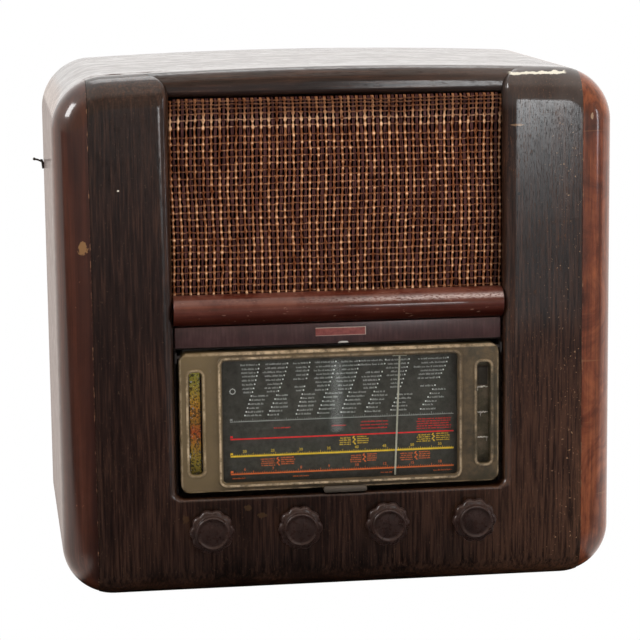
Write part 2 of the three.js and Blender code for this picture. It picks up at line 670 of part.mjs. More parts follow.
function makeDial() {
  const face = FRONT + DIAL_SETBACK;
  const behind = face + DIAL_WALL + GAP;
  const windowPane = (x, halfWide, tall, y0, y1) => (
    block(x - halfWide, x + halfWide, y0, y1, DIAL_MIDDLE - tall / 2, DIAL_MIDDLE + tall / 2)
  );
  piece('dial_housing', makeDialHousing(), materials.dialBakelite);
  piece('dial_glass', windowPane(0, WINDOW_HALF + 4, WINDOW_TALL + 6, behind, behind + 2), materials.glass);
  piece('scale_plate', windowPane(0, WINDOW_HALF + 6, WINDOW_TALL + 8, behind + 6, behind + 7.5), materials.scale);
  piece('pointer', makePointer(), materials.pointer);
  const strips = { tone: -SIDE_WINDOW_X, band: SIDE_WINDOW_X };
  for (const [name, x] of Object.entries(strips)) {
    const half = SIDE_WINDOW_WIDE / 2;
    piece(`${name}_lens`, windowPane(x, half + 2, SIDE_WINDOW_TALL + 4, behind, behind + 2), materials.glass);
  }
  piece('tone_indicator', windowPane(-SIDE_WINDOW_X, 5, 103, behind + 3, behind + 4), materials.toneStrip);
  const topCell = DIAL_MIDDLE + 36;
  piece('band_indicator', block(SIDE_WINDOW_X - 5, SIDE_WINDOW_X + 5, behind + 3, behind + 4, topCell - 9,
    topCell + 9), materials.toneStrip);
  piece('pull_tab', makePullTab(), materials.dialBakelite);
  piece('dial_pivot_left', makePivot(-1), materials.steel);
  piece('dial_pivot_right', makePivot(1), materials.steel);
}

// ---------------------------------------------------------------- leads
function lead(name, points, radius) {
  const path = new THREE.CatmullRomCurve3(points.map((p) => new THREE.Vector3(...p)));
  const section = new THREE.Shape();
  section.absarc(0, 0, radius, 0, 2 * Math.PI, false);
  const tube = new THREE.ExtrudeGeometry(section, { steps: 20, extrudePath: path, curveSegments: 3 });
  piece(name, solid(tube), materials.flex);
}

function makeLeads() {
  const outside = BACK - COVER_INSET + 5;
  lead('mains_lead', [
    [154, 100, 60], [154, outside - 8, 60], [152, outside + 2, 57], [142, outside + 1, 38], [112, outside, 30],
    [40, outside, 27], [-40, outside, 27],
  ], 3);
  lead('aerial_lead', [
    [-110, 100, 66], [-112, outside - 8, 66], [-122, outside + 1, 74], [-165, outside, 170], [-225, outside, 330],
    [-258, outside, 425],
  ], 1.5);
}

makeCabinet();
makeFeetAndScrews();
makeLoudspeaker();
makeChassis();
makeChassisPieces();
makeGang();
makeControls();
makeDial();
makeLeads();

export default radio;
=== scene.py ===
"""Looks for the large table radio: veneered cabinet, woven grille, tilting bakelite dial and lobed knobs.

Everything is in metres in the row frame: +Z up, the front faces -Y. Places come from the CAD nodes' boxes.
"""

import math

import bmesh
import bpy
import numpy as np
from mathutils import Matrix, Vector
from mathutils.geometry import delaunay_2d_cdt


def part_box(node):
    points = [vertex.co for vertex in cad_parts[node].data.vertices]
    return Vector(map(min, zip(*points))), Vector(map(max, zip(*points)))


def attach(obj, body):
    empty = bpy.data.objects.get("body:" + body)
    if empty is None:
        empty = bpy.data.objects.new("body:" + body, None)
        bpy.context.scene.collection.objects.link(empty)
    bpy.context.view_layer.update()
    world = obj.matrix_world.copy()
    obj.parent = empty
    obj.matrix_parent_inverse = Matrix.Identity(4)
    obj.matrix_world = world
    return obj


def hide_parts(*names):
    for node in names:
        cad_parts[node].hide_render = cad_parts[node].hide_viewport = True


MM = 0.001

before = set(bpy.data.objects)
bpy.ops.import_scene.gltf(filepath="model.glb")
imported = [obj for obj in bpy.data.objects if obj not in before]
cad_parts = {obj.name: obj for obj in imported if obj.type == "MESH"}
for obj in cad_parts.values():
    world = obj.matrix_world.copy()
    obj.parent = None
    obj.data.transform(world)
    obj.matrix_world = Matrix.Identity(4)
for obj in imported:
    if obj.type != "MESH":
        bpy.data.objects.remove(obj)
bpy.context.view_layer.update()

# ---------------------------------------------------------------- sizes, from the CAD nodes
FRAME_LO, FRAME_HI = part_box("front_frame")
CASE_LO, CASE_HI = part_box("cabinet_case")
BAFFLE_LO, BAFFLE_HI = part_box("baffle_board")
CLOTH_LO, CLOTH_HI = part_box("speaker_cloth")
RAIL_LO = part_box("top_rail")[0]
DIAL_LO, DIAL_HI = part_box("dial_housing")

FRONT = FRAME_LO.y  # flat front of the pillars
BACK = CASE_HI.y
HALF = CASE_HI.x  # half the cabinet's width
FLOOR_Z = CASE_LO.z  # underside of the cabinet, above its feet
CROWN = 8 * MM
SIDE_TOP = CASE_HI.z - CROWN
CORNER = 50 * MM  # outline corner radius
ROLL = FRAME_HI.y - FRONT  # radius of the rolled front edge
WALL = 12 * MM
GAP = 0.3 * MM
SEAM = FRAME_HI.x  # where the dark front meets the corner posts
RECESS_HALF = CLOTH_HI.x + GAP
RECESS_ROLL = 14 * MM  # radius of the pillars' rolled inner edges
LEDGE_ROLL = 5 * MM  # and of the ledge under the dial
LEDGE_Z = 101.5 * MM
SHOULDER = 22 * MM  # flare of the recess at its open top
CORNER_STEPS = 20
SMOOTH = 40  # degrees; sharper edges stay crisp
KNOBS = ("tone", "volume", "tuning", "band")


# ---------------------------------------------------------------- mesh helpers
def arc(x, z, radius, start, end, steps):
    """Points on an arc, in degrees, anticlockwise from +x."""
    angles = np.radians(np.linspace(start, end, steps + 1))
    return np.stack([x + radius * np.cos(angles), z + radius * np.sin(angles)], axis=1)


def cabinet_outline(inset, top_steps=40):
    """The cabinet's front outline, drawn in by inset on every side, as anticlockwise x, z points."""
    half, low, high = HALF - inset, FLOOR_Z + inset, SIDE_TOP - inset
    radius = CORNER - inset
    straight = half - radius
    top_x = np.linspace(straight, -straight, top_steps + 1)[1:-1]
    loop = np.concatenate([
        arc(straight, low + radius, radius, -90, 0, CORNER_STEPS),
        arc(straight, high - radius, radius, 0, 90, CORNER_STEPS),
        np.stack([top_x, np.full_like(top_x, high)], axis=1),
        arc(-straight, high - radius, radius, 90, 180, CORNER_STEPS),
        arc(-straight, low + radius, radius, 180, 270, CORNER_STEPS),
    ])
    crown = CROWN * (1 - (loop[:, 0] / half) ** 2)
    loop[:, 1] += np.where(loop[:, 1] > (low + high) / 2, crown, 0)
    return loop


def recess_outline(spread):
    """The recess between the pillars, open at the top, widened by spread, as anticlockwise x, z points."""
    half = RECESS_HALF + spread
    floor = LEDGE_Z - spread * LEDGE_ROLL / RECESS_ROLL
    corner = 8 * MM
    low, above = SIDE_TOP + 4 * MM - SHOULDER, SIDE_TOP + 60 * MM
    side = half + SHOULDER
    return np.concatenate([
        arc(half - corner, floor + corner, corner, -90, 0, 8),
        arc(side, low, SHOULDER, 180, 90, 12),
        [[side, above], [-side, above]],
        arc(-side, low, SHOULDER, 90, 0, 12),
        arc(-half + corner, floor + corner, corner, 180, 270, 8),
    ])


def rounded_rect(x0, x1, z0, z1, radius, steps=8):
    return np.concatenate([
        arc(x1 - radius, z0 + radius, radius, -90, 0, steps),
        arc(x1 - radius, z1 - radius, radius, 0, 90, steps),
        arc(x0 + radius, z1 - radius, radius, 90, 180, steps),
        arc(x0 + radius, z0 + radius, radius, 180, 270, steps),
    ])


def circle(x, z, radius, steps=24):
    return arc(x, z, radius, 0, 360, steps)[:-1]


def distance_to(loop, points):
    """Each point's distance to a closed loop."""
    best = np.full(len(points), np.inf)
    for a, b in zip(loop, np.roll(loop, -1, axis=0)):
        along = b - a
        share = np.clip((points - a) @ along / max(along @ along, 1e-18), 0, 1)
        best = np.minimum(best, np.linalg.norm(points - a - share[:, None] * along, axis=1))
    return best


def inside(loop, points):
    """True for each point inside a closed loop."""
    x, z = points[:, 0], points[:, 1]
    crossings = np.zeros(len(points), int)
    for (ax, az), (bx, bz) in zip(loop, np.roll(loop, -1, axis=0)):
        spans = (az > z) != (bz > z)
        if az != bz:
            crossings += spans & (x < ax + (z - az) * (bx - ax) / (bz - az))
    return crossings % 2 == 1


def mesh_piece(name, vertices, faces, smooth_degrees=SMOOTH):
    mesh = bpy.data.meshes.new(name)
    mesh.from_pydata([tuple(v) for v in vertices], [], [tuple(f) for f in faces])
    mesh.validate()
    obj = bpy.data.objects.new(name, mesh)
    bpy.context.scene.collection.objects.link(obj)
    smooth_by_angle(obj, smooth_degrees)
    return obj


def smooth_by_angle(obj, degrees):
    mesh = obj.data
    mesh.shade_smooth()
    mesh.set_sharp_from_angle(angle=math.radians(degrees))


def ring_loft(name, rings, closed_path=False, smooth_degrees=SMOOTH):
    """Skins rings of equal point counts. An open path gets flat end caps."""
    count = len(rings[0])
    vertices = np.concatenate(rings)
    total = len(rings)
    faces = []
    for r in range(total if closed_path else total - 1):
        near, far = r * count, (r + 1) % total * count
        for i in range(count):
            j = (i + 1) % count
            faces.append((near + i, far + i, far + j, near + j))
    if not closed_path:
        faces.append(tuple(range(count)))
        faces.append(tuple(reversed(range((total - 1) * count, total * count))))
    return mesh_piece(name, vertices, faces, smooth_degrees)


def at_depth(loop, y):
    """A flat x, z loop as x, y, z points."""
    return np.stack([loop[:, 0], np.full(len(loop), y), loop[:, 1]], axis=1)


def triangulate(loops, keep):
    """A plane mesh that follows every loop, holding the triangles whose centres keep() accepts."""
    points, edges = [], []
    for loop in loops:
        start = len(points)
        points += [Vector(p) for p in loop]
        edges += [(start + i, start + (i + 1) % len(loop)) for i in range(len(loop))]
    flat, _, faces, *_ = delaunay_2d_cdt(points, edges, [], 0, 1e-7)
    flat = np.array([tuple(p) for p in flat])
    faces = np.array([f for f in faces if len(f) == 3])
    centres = flat[faces].mean(axis=1)
    return flat, faces[keep(centres)]


def relief(name, loops, keep, depth, back):
    """A slab whose front follows depth(points) over a plane mesh, and whose back is flat at y = back."""
    flat, faces = triangulate(loops, keep)
    used, faces = np.unique(faces, return_inverse=True)
    faces = faces.reshape(-1, 3)
    flat = flat[used]
    a, b, c = (flat[faces[:, k]] for k in range(3))
    turn = (b[:, 0] - a[:, 0]) * (c[:, 1] - a[:, 1]) - (b[:, 1] - a[:, 1]) * (c[:, 0] - a[:, 0])
    faces[turn < 0] = faces[turn < 0][:, ::-1]
    front = np.stack([flat[:, 0], np.minimum(depth(flat), back), flat[:, 1]], axis=1)
    count = len(flat)
    edges = {(face[i], face[(i + 1) % 3]): True for face in faces for i in range(3)}
    walls = [(i, i + count, j + count, j) for i, j in edges if (j, i) not in edges]
    rear = at_depth(flat, back)
    all_faces = [tuple(f) for f in faces] + [tuple(f[::-1] + count) for f in faces] + walls
    obj = mesh_piece(name, np.concatenate([front, rear]), all_faces)
    merge_close(obj)
    return obj


def merge_close(obj):
    distance = 1e-6
    work = bmesh.new()
    work.from_mesh(obj.data)
    bmesh.ops.remove_doubles(work, verts=work.verts, dist=distance)
    bmesh.ops.dissolve_degenerate(work, edges=work.edges, dist=distance)
    work.to_mesh(obj.data)
    work.free()
    smooth_by_angle(obj, SMOOTH)


def box_piece(name, lo, hi, bevel=0.0):
    """A box between two corners, with its edges rounded."""
    corners = [(x, y, z) for x in (lo[0], hi[0]) for y in (lo[1], hi[1]) for z in (lo[2], hi[2])]
    faces = [(0, 1, 3, 2), (4, 6, 7, 5), (0, 4, 5, 1), (2, 3, 7, 6), (0, 2, 6, 4), (1, 5, 7, 3)]
    obj = mesh_piece(name, corners, faces)
    if bevel:
        modifier = obj.modifiers.new("edges", "BEVEL")
        modifier.width = bevel
        modifier.segments = 3
        apply_modifiers(obj)
    return obj


def stands_in(obj, node):
    """Lets a finer piece take a CAD node's place."""
    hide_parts(node)
    return obj


def apply_modifiers(obj):
    graph = bpy.context.evaluated_depsgraph_get()
    mesh = bpy.data.meshes.new_from_object(obj.evaluated_get(graph))
    obj.modifiers.clear()
    obj.data = mesh
    smooth_by_angle(obj, SMOOTH)


def cut_box(obj, lo, hi):
    """Cuts a box out of a piece."""
    tool = box_piece("tool", lo, hi)
    modifier = obj.modifiers.new("cut", "BOOLEAN")
    modifier.operation = "DIFFERENCE"
    modifier.solver = "EXACT"
    modifier.object = tool
    apply_modifiers(obj)
    bpy.data.objects.remove(tool)


def bar_along_x(name, section, x0, x1, ease):
    """A closed y, z section run along x, with both ends eased over."""
    middle = (section.max(axis=0) + section.min(axis=0)) / 2
    reach = (section.max(axis=0) - section.min(axis=0)) / 2
    turns = np.radians(np.linspace(0, 90, 5))
    stations = [(x0 + ease * (1 - math.cos(t)), t) for t in turns]
    stations += [(x1 - ease * (1 - math.cos(t)), t) for t in turns[::-1]]
    rings = []
    for x, turn in stations:
        share = 1 - ease * (1 - math.sin(turn)) / reach
        loop = middle + (section - middle) * share
        rings.append(np.stack([np.full(len(loop), x), loop[:, 0], loop[:, 1]], axis=1))
    return ring_loft(name, rings)


# ---------------------------------------------------------------- materials
class Nodes:
    """A small builder for node trees. Coordinates are the row frame in metres."""

    def __init__(self, tree, place):
        self.tree = tree
        self.place = place

    def put(self, socket, value):
        if isinstance(value, bpy.types.NodeSocket):
            self.tree.links.new(value, socket)
        elif isinstance(value, tuple) and len(value) == 3 and socket.type == "RGBA":
            socket.default_value = (*value, 1)
        else:
            socket.default_value = value

    def node(self, kind, **inputs):
        node = self.tree.nodes.new(kind)
        for key, value in inputs.items():
            self.put(node.inputs[key.replace("_", " ")], value)
        return node

    def stretch(self, x, y, z):
        """The coordinates scaled along each axis."""
        return self.node("ShaderNodeMapping", Vector=self.place, Scale=(x, y, z)).outputs["Vector"]

    def grained(self, across, along, axes):
        """Coordinates for a figure that runs along the named axes, with fewer repeats that way."""
        return self.stretch(*[along if axis in axes else across for axis in "XYZ"])

    def noise(self, vector, scale=1.0, detail=4.0, roughness=0.55, distortion=0.0):
        return self.node("ShaderNodeTexNoise", Vector=vector, Scale=scale, Detail=detail,
                         Roughness=roughness, Distortion=distortion).outputs["Fac"]

    def ramp(self, value, *stops):
        """Colours or greys at positions from 0 to 1."""
        node = self.node("ShaderNodeValToRGB", Fac=value)
        elements = node.color_ramp.elements
        while len(elements) < len(stops):
            elements.new(0.5)
        for element, (position, colour) in zip(elements, stops):
            element.position = position
            element.color = (*colour, 1) if isinstance(colour, tuple) else (colour, colour, colour, 1)
        return node.outputs["Color"]

    def mix(self, share, a, b, blend="MIX"):
        node = self.tree.nodes.new("ShaderNodeMix")
        node.data_type = "RGBA"
        node.blend_type = blend
        for index, value in ((0, share), (6, a), (7, b)):
            self.put(node.inputs[index], value)
        return node.outputs[2]

    def math(self, operation, a, b=0.0):
        node = self.tree.nodes.new("ShaderNodeMath")
        node.operation = operation
        self.put(node.inputs[0], a)
        self.put(node.inputs[1], b)
        return node.outputs[0]

    def add(self, *values):
        total = values[0]
        for value in values[1:]:
            total = self.math("ADD", total, value)
        return total

    def both(self, *shares):
        """The product of several masks."""
        result = shares[0]
        for share in shares[1:]:
            result = self.math("MULTIPLY", result, share)
        return result

    def blend(self, *weighted):
        """The sum of (value, weight) pairs."""
        return self.add(*[self.math("MULTIPLY", value, weight) for value, weight in weighted])

    def axis(self, name):
        return self.node("ShaderNodeSeparateXYZ", Vector=self.place).outputs[name]

    def rise(self, value, start, end, low=0.0, high=1.0):
        """A smooth change from low to high as value goes from start to end."""
        node = self.tree.nodes.new("ShaderNodeMapRange")
        node.interpolation_type = "SMOOTHSTEP"
        for key, number in (("From Min", start), ("From Max", end), ("To Min", low), ("To Max", high)):
            node.inputs[key].default_value = number
        self.put(node.inputs["Value"], value)
        return node.outputs[0]

    def near(self, value, centre, reach):
        """1 at centre, fading to 0 at a distance of reach."""
        return self.rise(self.math("ABSOLUTE", self.math("SUBTRACT", value, centre)), reach, 0.0)

    def most(self, *shares):
        """The greatest of several masks."""
        result = shares[0]
        for share in shares[1:]:
            result = self.math("MAXIMUM", result, share)
        return result

    def spot(self, across, up, x, z, wide, tall, ragged=0.9):
        """A ragged patch: 1 inside an ellipse around x, z, and 0 outside it."""
        dx = self.math("DIVIDE", self.math("SUBTRACT", across, x), wide / 2)
        dz = self.math("DIVIDE", self.math("SUBTRACT", up, z), tall / 2)
        uneven = self.math("SUBTRACT", self.noise(self.place, 330, 4, 0.65), 0.5)
        edge = self.math("MULTIPLY", uneven, 4 * ragged)
        return self.rise(self.add(self.both(dx, dx), self.both(dz, dz), edge), 1.15, 0.75)

    def marked(self, colour, marks, mask=1.0):
        """Small marks in x, z, each as (x, z, width and height in mm, raggedness, strength, colour)."""
        x, z = self.axis("X"), self.axis("Z")
        for across, up, wide, tall, ragged, strength, tone in marks:
            spot = self.spot(x, z, across * MM, up * MM, wide * MM, tall * MM, ragged)
            colour = self.mix(self.both(spot, mask, strength), colour, tone)
        return colour

    def bump(self, height, strength, distance=0.001):
        node = self.node("ShaderNodeBump", Height=height, Strength=strength, Distance=distance)
        return node.outputs["Normal"]


class Shader(Nodes):
    """A material built on the Principled shader, in object coordinates."""

    def __init__(self, name):
        self.material = bpy.data.materials.new(name)
        self.material.use_nodes = True
        tree = self.material.node_tree
        super().__init__(tree, tree.nodes.new("ShaderNodeTexCoord").outputs["Object"])
        self.surface = tree.nodes["Principled BSDF"]
        self.output = tree.nodes["Material Output"].inputs["Surface"]

    def done(self, **inputs):
        for key, value in inputs.items():
            self.put(self.surface.inputs[key.replace("_", " ")], value)
        return self.material

    def instead(self, shader):
        """Uses another shader node in place of the Principled one."""
        self.tree.links.new(shader.outputs[0], self.output)
        self.tree.nodes.remove(self.surface)
        return self.material


def dark_veneer(name, grain, haze=0.085):
    """Nearly black veneer under old lacquer: open pores, flecks and chips worn down to ochre wood, and a
    painted grey sheen on the upper roll.
    """
    s = Shader(name)
    x, z = s.axis("X"), s.axis("Z")
    broad = s.noise(s.grained(16, 2.5, grain), detail=3, distortion=0.6)
    fine = s.noise(s.grained(420, 20, grain), detail=5, roughness=0.62)
    pores = s.noise(s.grained(1000, 130, grain), detail=3, roughness=0.6)
    rightwards = s.rise(x, 0.02, HALF, 0.04, 1.0)

    stain = s.ramp(s.blend((fine, 0.7), (broad, 0.3)), (0.38, (0.0030, 0.0012, 0.0008)),
                   (0.50, (0.0165, 0.0062, 0.0034)), (0.62, (0.049, 0.0198, 0.0103)))
    faded = s.both(rightwards, s.rise(z, 0.36, 0.06, 0.10, 1.0), s.rise(fine, 0.38, 0.60, 0.2, 1.0))
    stain = s.mix(faded, stain, (0.088, 0.0365, 0.0175))

    patchy = s.rise(s.noise(s.stretch(20, 20, 11), detail=4), 0.40, 0.60)
    wear = s.most(rightwards, s.rise(z, 0.34, 0.08, 0.05, 0.4))
    flecks = s.both(s.rise(pores, 0.58, 0.70), patchy, wear, 0.75)
    colour = s.mix(flecks, stain, (0.19, 0.080, 0.034))
    dots = s.both(s.rise(s.noise(s.place, 430, 2), 0.68, 0.74), s.rise(x, 0.185, 0.235, 0.12, 0.9))
    colour = s.mix(dots, colour, (0.34, 0.20, 0.105))
    pits = s.rise(s.noise(s.stretch(520, 520, 330), detail=3), 0.58, 0.66)
    pits = s.both(pits, s.rise(z, 0.36, 0.47, 0.1, 0.9), s.rise(x, 0.10, 0.20, 0.15, 1.0))
    colour = s.mix(pits, colour, (0.0022, 0.0014, 0.0012))

    glue = (0.10, 0.050, 0.014)
    colour = s.marked(colour, (
        (-93.4, 90.9, 8, 6, 0.9, 0.5, glue),
        (-155.3, 81.9, 6, 8, 0.9, 0.5, glue),
        (-80.0, 83.0, 10, 5, 0.9, 0.5, glue),
        (-213.4, 407.2, 2.2, 1.8, 0.3, 1.0, (0.75, 0.66, 0.55)),
        (175.5, 461.2, 14, 2.2, 0.5, 0.6, (0.34, 0.20, 0.10)),
        (177.3, 394.1, 3.5, 3.0, 0.3, 1.0, (0.001, 0.001, 0.001)),
    ))
    height = s.add(z, s.both(s.math("SUBTRACT", s.noise(s.place, 160, 3), 0.5), 4 * MM))
    rubbed = s.both(s.rise(height, 0.5088, 0.5094), s.rise(height, 0.5120, 0.5114),
                    s.rise(x, 0.168, 0.172), s.rise(x, 0.229, 0.224))
    unrubbed = s.rise(rubbed, 0.0, 1.0, 1.0, 0.0)
    colour = s.mix(rubbed, colour, (0.72, 0.66, 0.54))
    # Painted sheen: the upper roll, from where it starts upwards, greyed more towards the right, as if lit
    # from above.
    top_roll_sheen = s.both(s.rise(height, 0.474, 0.484), rightwards, s.rise(broad, 0.25, 0.6, 0.4, 0.9))
    colour = s.mix(s.both(top_roll_sheen, unrubbed), colour, (0.070, 0.056, 0.050))

    dust = s.noise(s.place, 70, 6, 0.72)
    coat = s.both(s.rise(pores, 0.66, 0.52, 0.20, 1.0), s.rise(pits, 0.0, 1.0, 1.0, 0.15),
                  s.rise(dust, 0.30, 0.56, 0.72, 1.0), unrubbed)
    return s.done(Base_Color=colour, Specular_IOR_Level=0.2, Coat_Weight=coat, Coat_Roughness=haze,
                  Roughness=s.ramp(s.blend((fine, 0.4), (dust, 0.6)), (0.35, 0.36), (0.65, 0.52)),
                  Normal=s.bump(s.blend((fine, 1.0), (pores, 0.8)), 0.25, 0.0004),
                  Coat_Normal=s.bump(s.blend((fine, 0.8), (pores, 0.6)), 0.16, 0.0003))


def walnut_veneer(name, grain, shade):
    """Red-brown walnut under gloss: quiet and dark on the left, lighter and figured on the right."""
    s = Shader(name)
    x, y, z = s.axis("X"), s.axis("Y"), s.axis("Z")
    aside = s.math("ABSOLUTE", x)
    right = s.rise(x, -0.08, 0.16)
    streaks = s.noise(s.grained(90, 3.2, grain), detail=5, roughness=0.60, distortion=0.5)
    curl = s.noise(s.stretch(24, 24, 15), detail=5, roughness=0.62, distortion=2.4)
    fine = s.noise(s.grained(620, 22, grain), detail=4, roughness=0.6)
    shape = s.mix(right, s.blend((streaks, 0.8), (curl, 0.2)), s.blend((streaks, 0.45), (curl, 0.55)))
    quiet = s.ramp(shape, (0.34, (0.022, 0.0057, 0.0030)), (0.50, (0.054, 0.0140, 0.0066)),
                   (0.68, (0.100, 0.0290, 0.0135)))
    warm = s.ramp(shape, (0.36, (0.052, 0.0115, 0.0045)), (0.50, (0.168, 0.0390, 0.0135)),
                  (0.64, (0.325, 0.092, 0.0320)))
    colour = s.mix(s.both(right, shade), quiet, warm)

    dark = s.noise(s.grained(60, 2.4, grain), detail=4, roughness=0.6, distortion=0.8)
    colour = s.mix(s.both(s.rise(dark, 0.52, 0.68), 0.55), colour, (0.018, 0.0055, 0.0036))
    colour = s.mix(s.rise(fine, 0.45, 0.72, 0.0, 0.45), colour, (0.030, 0.0090, 0.0052))
    rings = s.rise(s.noise(s.stretch(5, 5, 210), detail=3, distortion=0.4), 0.66, 0.70)
    colour = s.mix(s.both(rings, right, 0.30), colour, (0.30, 0.135, 0.060))
    knots = s.rise(s.noise(s.stretch(48, 48, 34), detail=2), 0.66, 0.76)
    colour = s.mix(s.both(knots, right, 0.75), colour, (0.034, 0.0115, 0.0068))
    specks = s.rise(s.noise(s.place, 320, 3), 0.72, 0.78)
    colour = s.mix(s.both(specks, 0.45), colour, (0.36, 0.17, 0.08))
    ragged = s.rise(s.noise(s.stretch(700, 700, 150), detail=4), 0.56, 0.64)
    colour = s.mix(s.both(s.near(aside, SEAM + GAP, 1.3 * MM), ragged), colour, (0.30, 0.15, 0.075))
    colour = s.marked(colour, (
        (-248.7, 352.8, 10, 12, 0.9, 1.0, (0.27, 0.135, 0.048)),
        (250.0, 468.0, 3, 7, 0.6, 0.7, (0.45, 0.30, 0.19)),
    ), s.rise(y, -0.10, -0.12))

    lifted = s.both(s.spot(x, y, -0.200, -0.104, 0.076, 0.020, 1.2),
                    s.rise(z, SIDE_TOP - 10 * MM, SIDE_TOP - 4 * MM))
    cracks = s.rise(s.noise(s.stretch(90, 260, 1), detail=5), 0.46, 0.54)
    cracks = s.both(s.rise(lifted, 0.05, 0.3), cracks)
    colour = s.mix(cracks, colour, (0.060, 0.036, 0.026))

    dust = s.noise(s.place, 55, 6, 0.72)
    smears = s.noise(s.grained(60, 9, grain), detail=5, roughness=0.7)
    side = s.both(s.rise(aside, HALF - 3 * MM, HALF - 1 * MM), s.rise(y, FRONT + 25 * MM, FRONT + ROLL))
    coat = s.both(s.rise(smears, 0.32, 0.60, 0.86, 1.0), s.rise(cracks, 0.0, 0.8, 1.0, 0.0),
                  s.rise(side, 0.0, 1.0, 1.0, 0.42))
    return s.done(Base_Color=colour, Roughness=s.ramp(dust, (0.30, 0.30), (0.72, 0.46)),
                  Specular_IOR_Level=s.rise(cracks, 0.0, 0.8, 0.25, 0.0), Normal=s.bump(fine, 0.12, 0.0003),
                  Coat_Weight=coat, Coat_Roughness=s.ramp(dust, (0.35, 0.06), (0.7, 0.15)),
                  Coat_Normal=s.bump(s.noise(s.grained(120, 16, grain), detail=2), 0.07, 0.0005))


def mottled(name, colour, roughness, metallic=0.0, speckle=0.2, scale=90, relief=0.06, **more):
    """Fine uneven colour, roughness and relief around one tone."""
    s = Shader(name)
    soft = s.noise(s.place, scale, 6, 0.68)
    darker = tuple(c * (1 - speckle) for c in colour)
    lighter = tuple(min(1.0, c * (1 + speckle)) for c in colour)
    rough = s.ramp(s.noise(s.place, scale * 3, 4, 0.6), (0.3, max(0.03, roughness - 0.09)),
                   (0.7, min(1.0, roughness + 0.09)))
    return s.done(Base_Color=s.ramp(soft, (0.3, darker), (0.7, lighter)), Roughness=rough,
                  Metallic=metallic, Normal=s.bump(soft, relief, 0.0004), **more)


def moulding_lacquer():
    """Red-brown lacquered bar with grain along it: less polished below and darkened there by painted shade,
    with a patchy painted sheen above and a pale painted highlight along its crest.
    """
    s = Shader("moulding lacquer")
    lo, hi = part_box("cloth_moulding")
    x, z = s.axis("X"), s.axis("Z")
    grain = s.noise(s.grained(210, 7, "X"), detail=5, roughness=0.65)
    cloudy = s.noise(s.place, 38, 5, 0.65)
    base = s.ramp(s.blend((grain, 0.6), (cloudy, 0.4)), (0.34, (0.040, 0.0075, 0.0040)),
                  (0.52, (0.090, 0.0185, 0.0100)), (0.68, (0.150, 0.042, 0.0230)))
    # Painted shade: the underside darkened to near black, where it faces down, away from the light.
    under = s.rise(z, lo.z + 15 * MM, lo.z + 4 * MM, 0.0, 0.85)
    colour = s.mix(under, base, (0.012, 0.0010, 0.0005))
    # Painted sheen: the upper part lightened in patches, where it faces up to the light.
    worn = s.both(s.rise(z, hi.z - 14 * MM, hi.z - 5 * MM), s.rise(cloudy, 0.42, 0.62))
    colour = s.mix(s.both(worn, 0.5), colour, (0.185, 0.072, 0.050))
    # Painted highlight: a speckled pale line along the crest, from a little left of the middle to the right
    # end.
    crest = s.both(s.near(z, hi.z - 7.5 * MM, 3.5 * MM), s.rise(x, -0.07, 0.10, 0.0, 0.75),
                   s.rise(s.noise(s.stretch(320, 900, 900), detail=4), 0.34, 0.56))
    colour = s.mix(crest, colour, (0.68, 0.52, 0.47))
    nicks = s.rise(s.noise(s.stretch(130, 400, 400), detail=3), 0.66, 0.72)
    colour = s.mix(s.both(nicks, 0.35), colour, (0.42, 0.24, 0.17))
    polished = lo.z + 7 * MM, lo.z + 17 * MM
    return s.done(Base_Color=colour, Roughness=s.ramp(cloudy, (0.3, 0.30), (0.7, 0.44)),
                  Specular_IOR_Level=s.rise(z, *polished, 0.03, 0.2),
                  Coat_Weight=s.rise(z, *polished, 0.15, 0.9),
                  Coat_Roughness=s.ramp(grain, (0.35, 0.06), (0.65, 0.15)),
                  Normal=s.bump(grain, 0.12, 0.0003))


def strip_lacquer():
    """Dull plum-brown strip with fine upright grain, chipped at its lower edge."""
    s = Shader("strip lacquer")
    low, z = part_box("badge_strip")[0].z, s.axis("Z")
    grain = s.noise(s.grained(520, 45, "Z"), detail=4, roughness=0.65)
    cloudy = s.noise(s.place, 30, 5, 0.65)
    base = s.ramp(s.blend((grain, 0.45), (cloudy, 0.55)), (0.34, (0.034, 0.0115, 0.0125)),
                  (0.52, (0.070, 0.0245, 0.0250)), (0.68, (0.112, 0.048, 0.048)))
    edge = s.both(s.rise(z, low + 2.4 * MM, low + 0.4 * MM), 0.45)
    colour = s.mix(edge, base, (0.10, 0.060, 0.055))
    colour = s.marked(colour, ((4.5, low / MM + 0.6, 10, 3, 0.5, 1.0, (0.80, 0.76, 0.68)),))
    return s.done(Base_Color=colour, Roughness=0.42, Normal=s.bump(grain, 0.15, 0.0003), Coat_Weight=0.45,
                  Coat_Roughness=0.2)


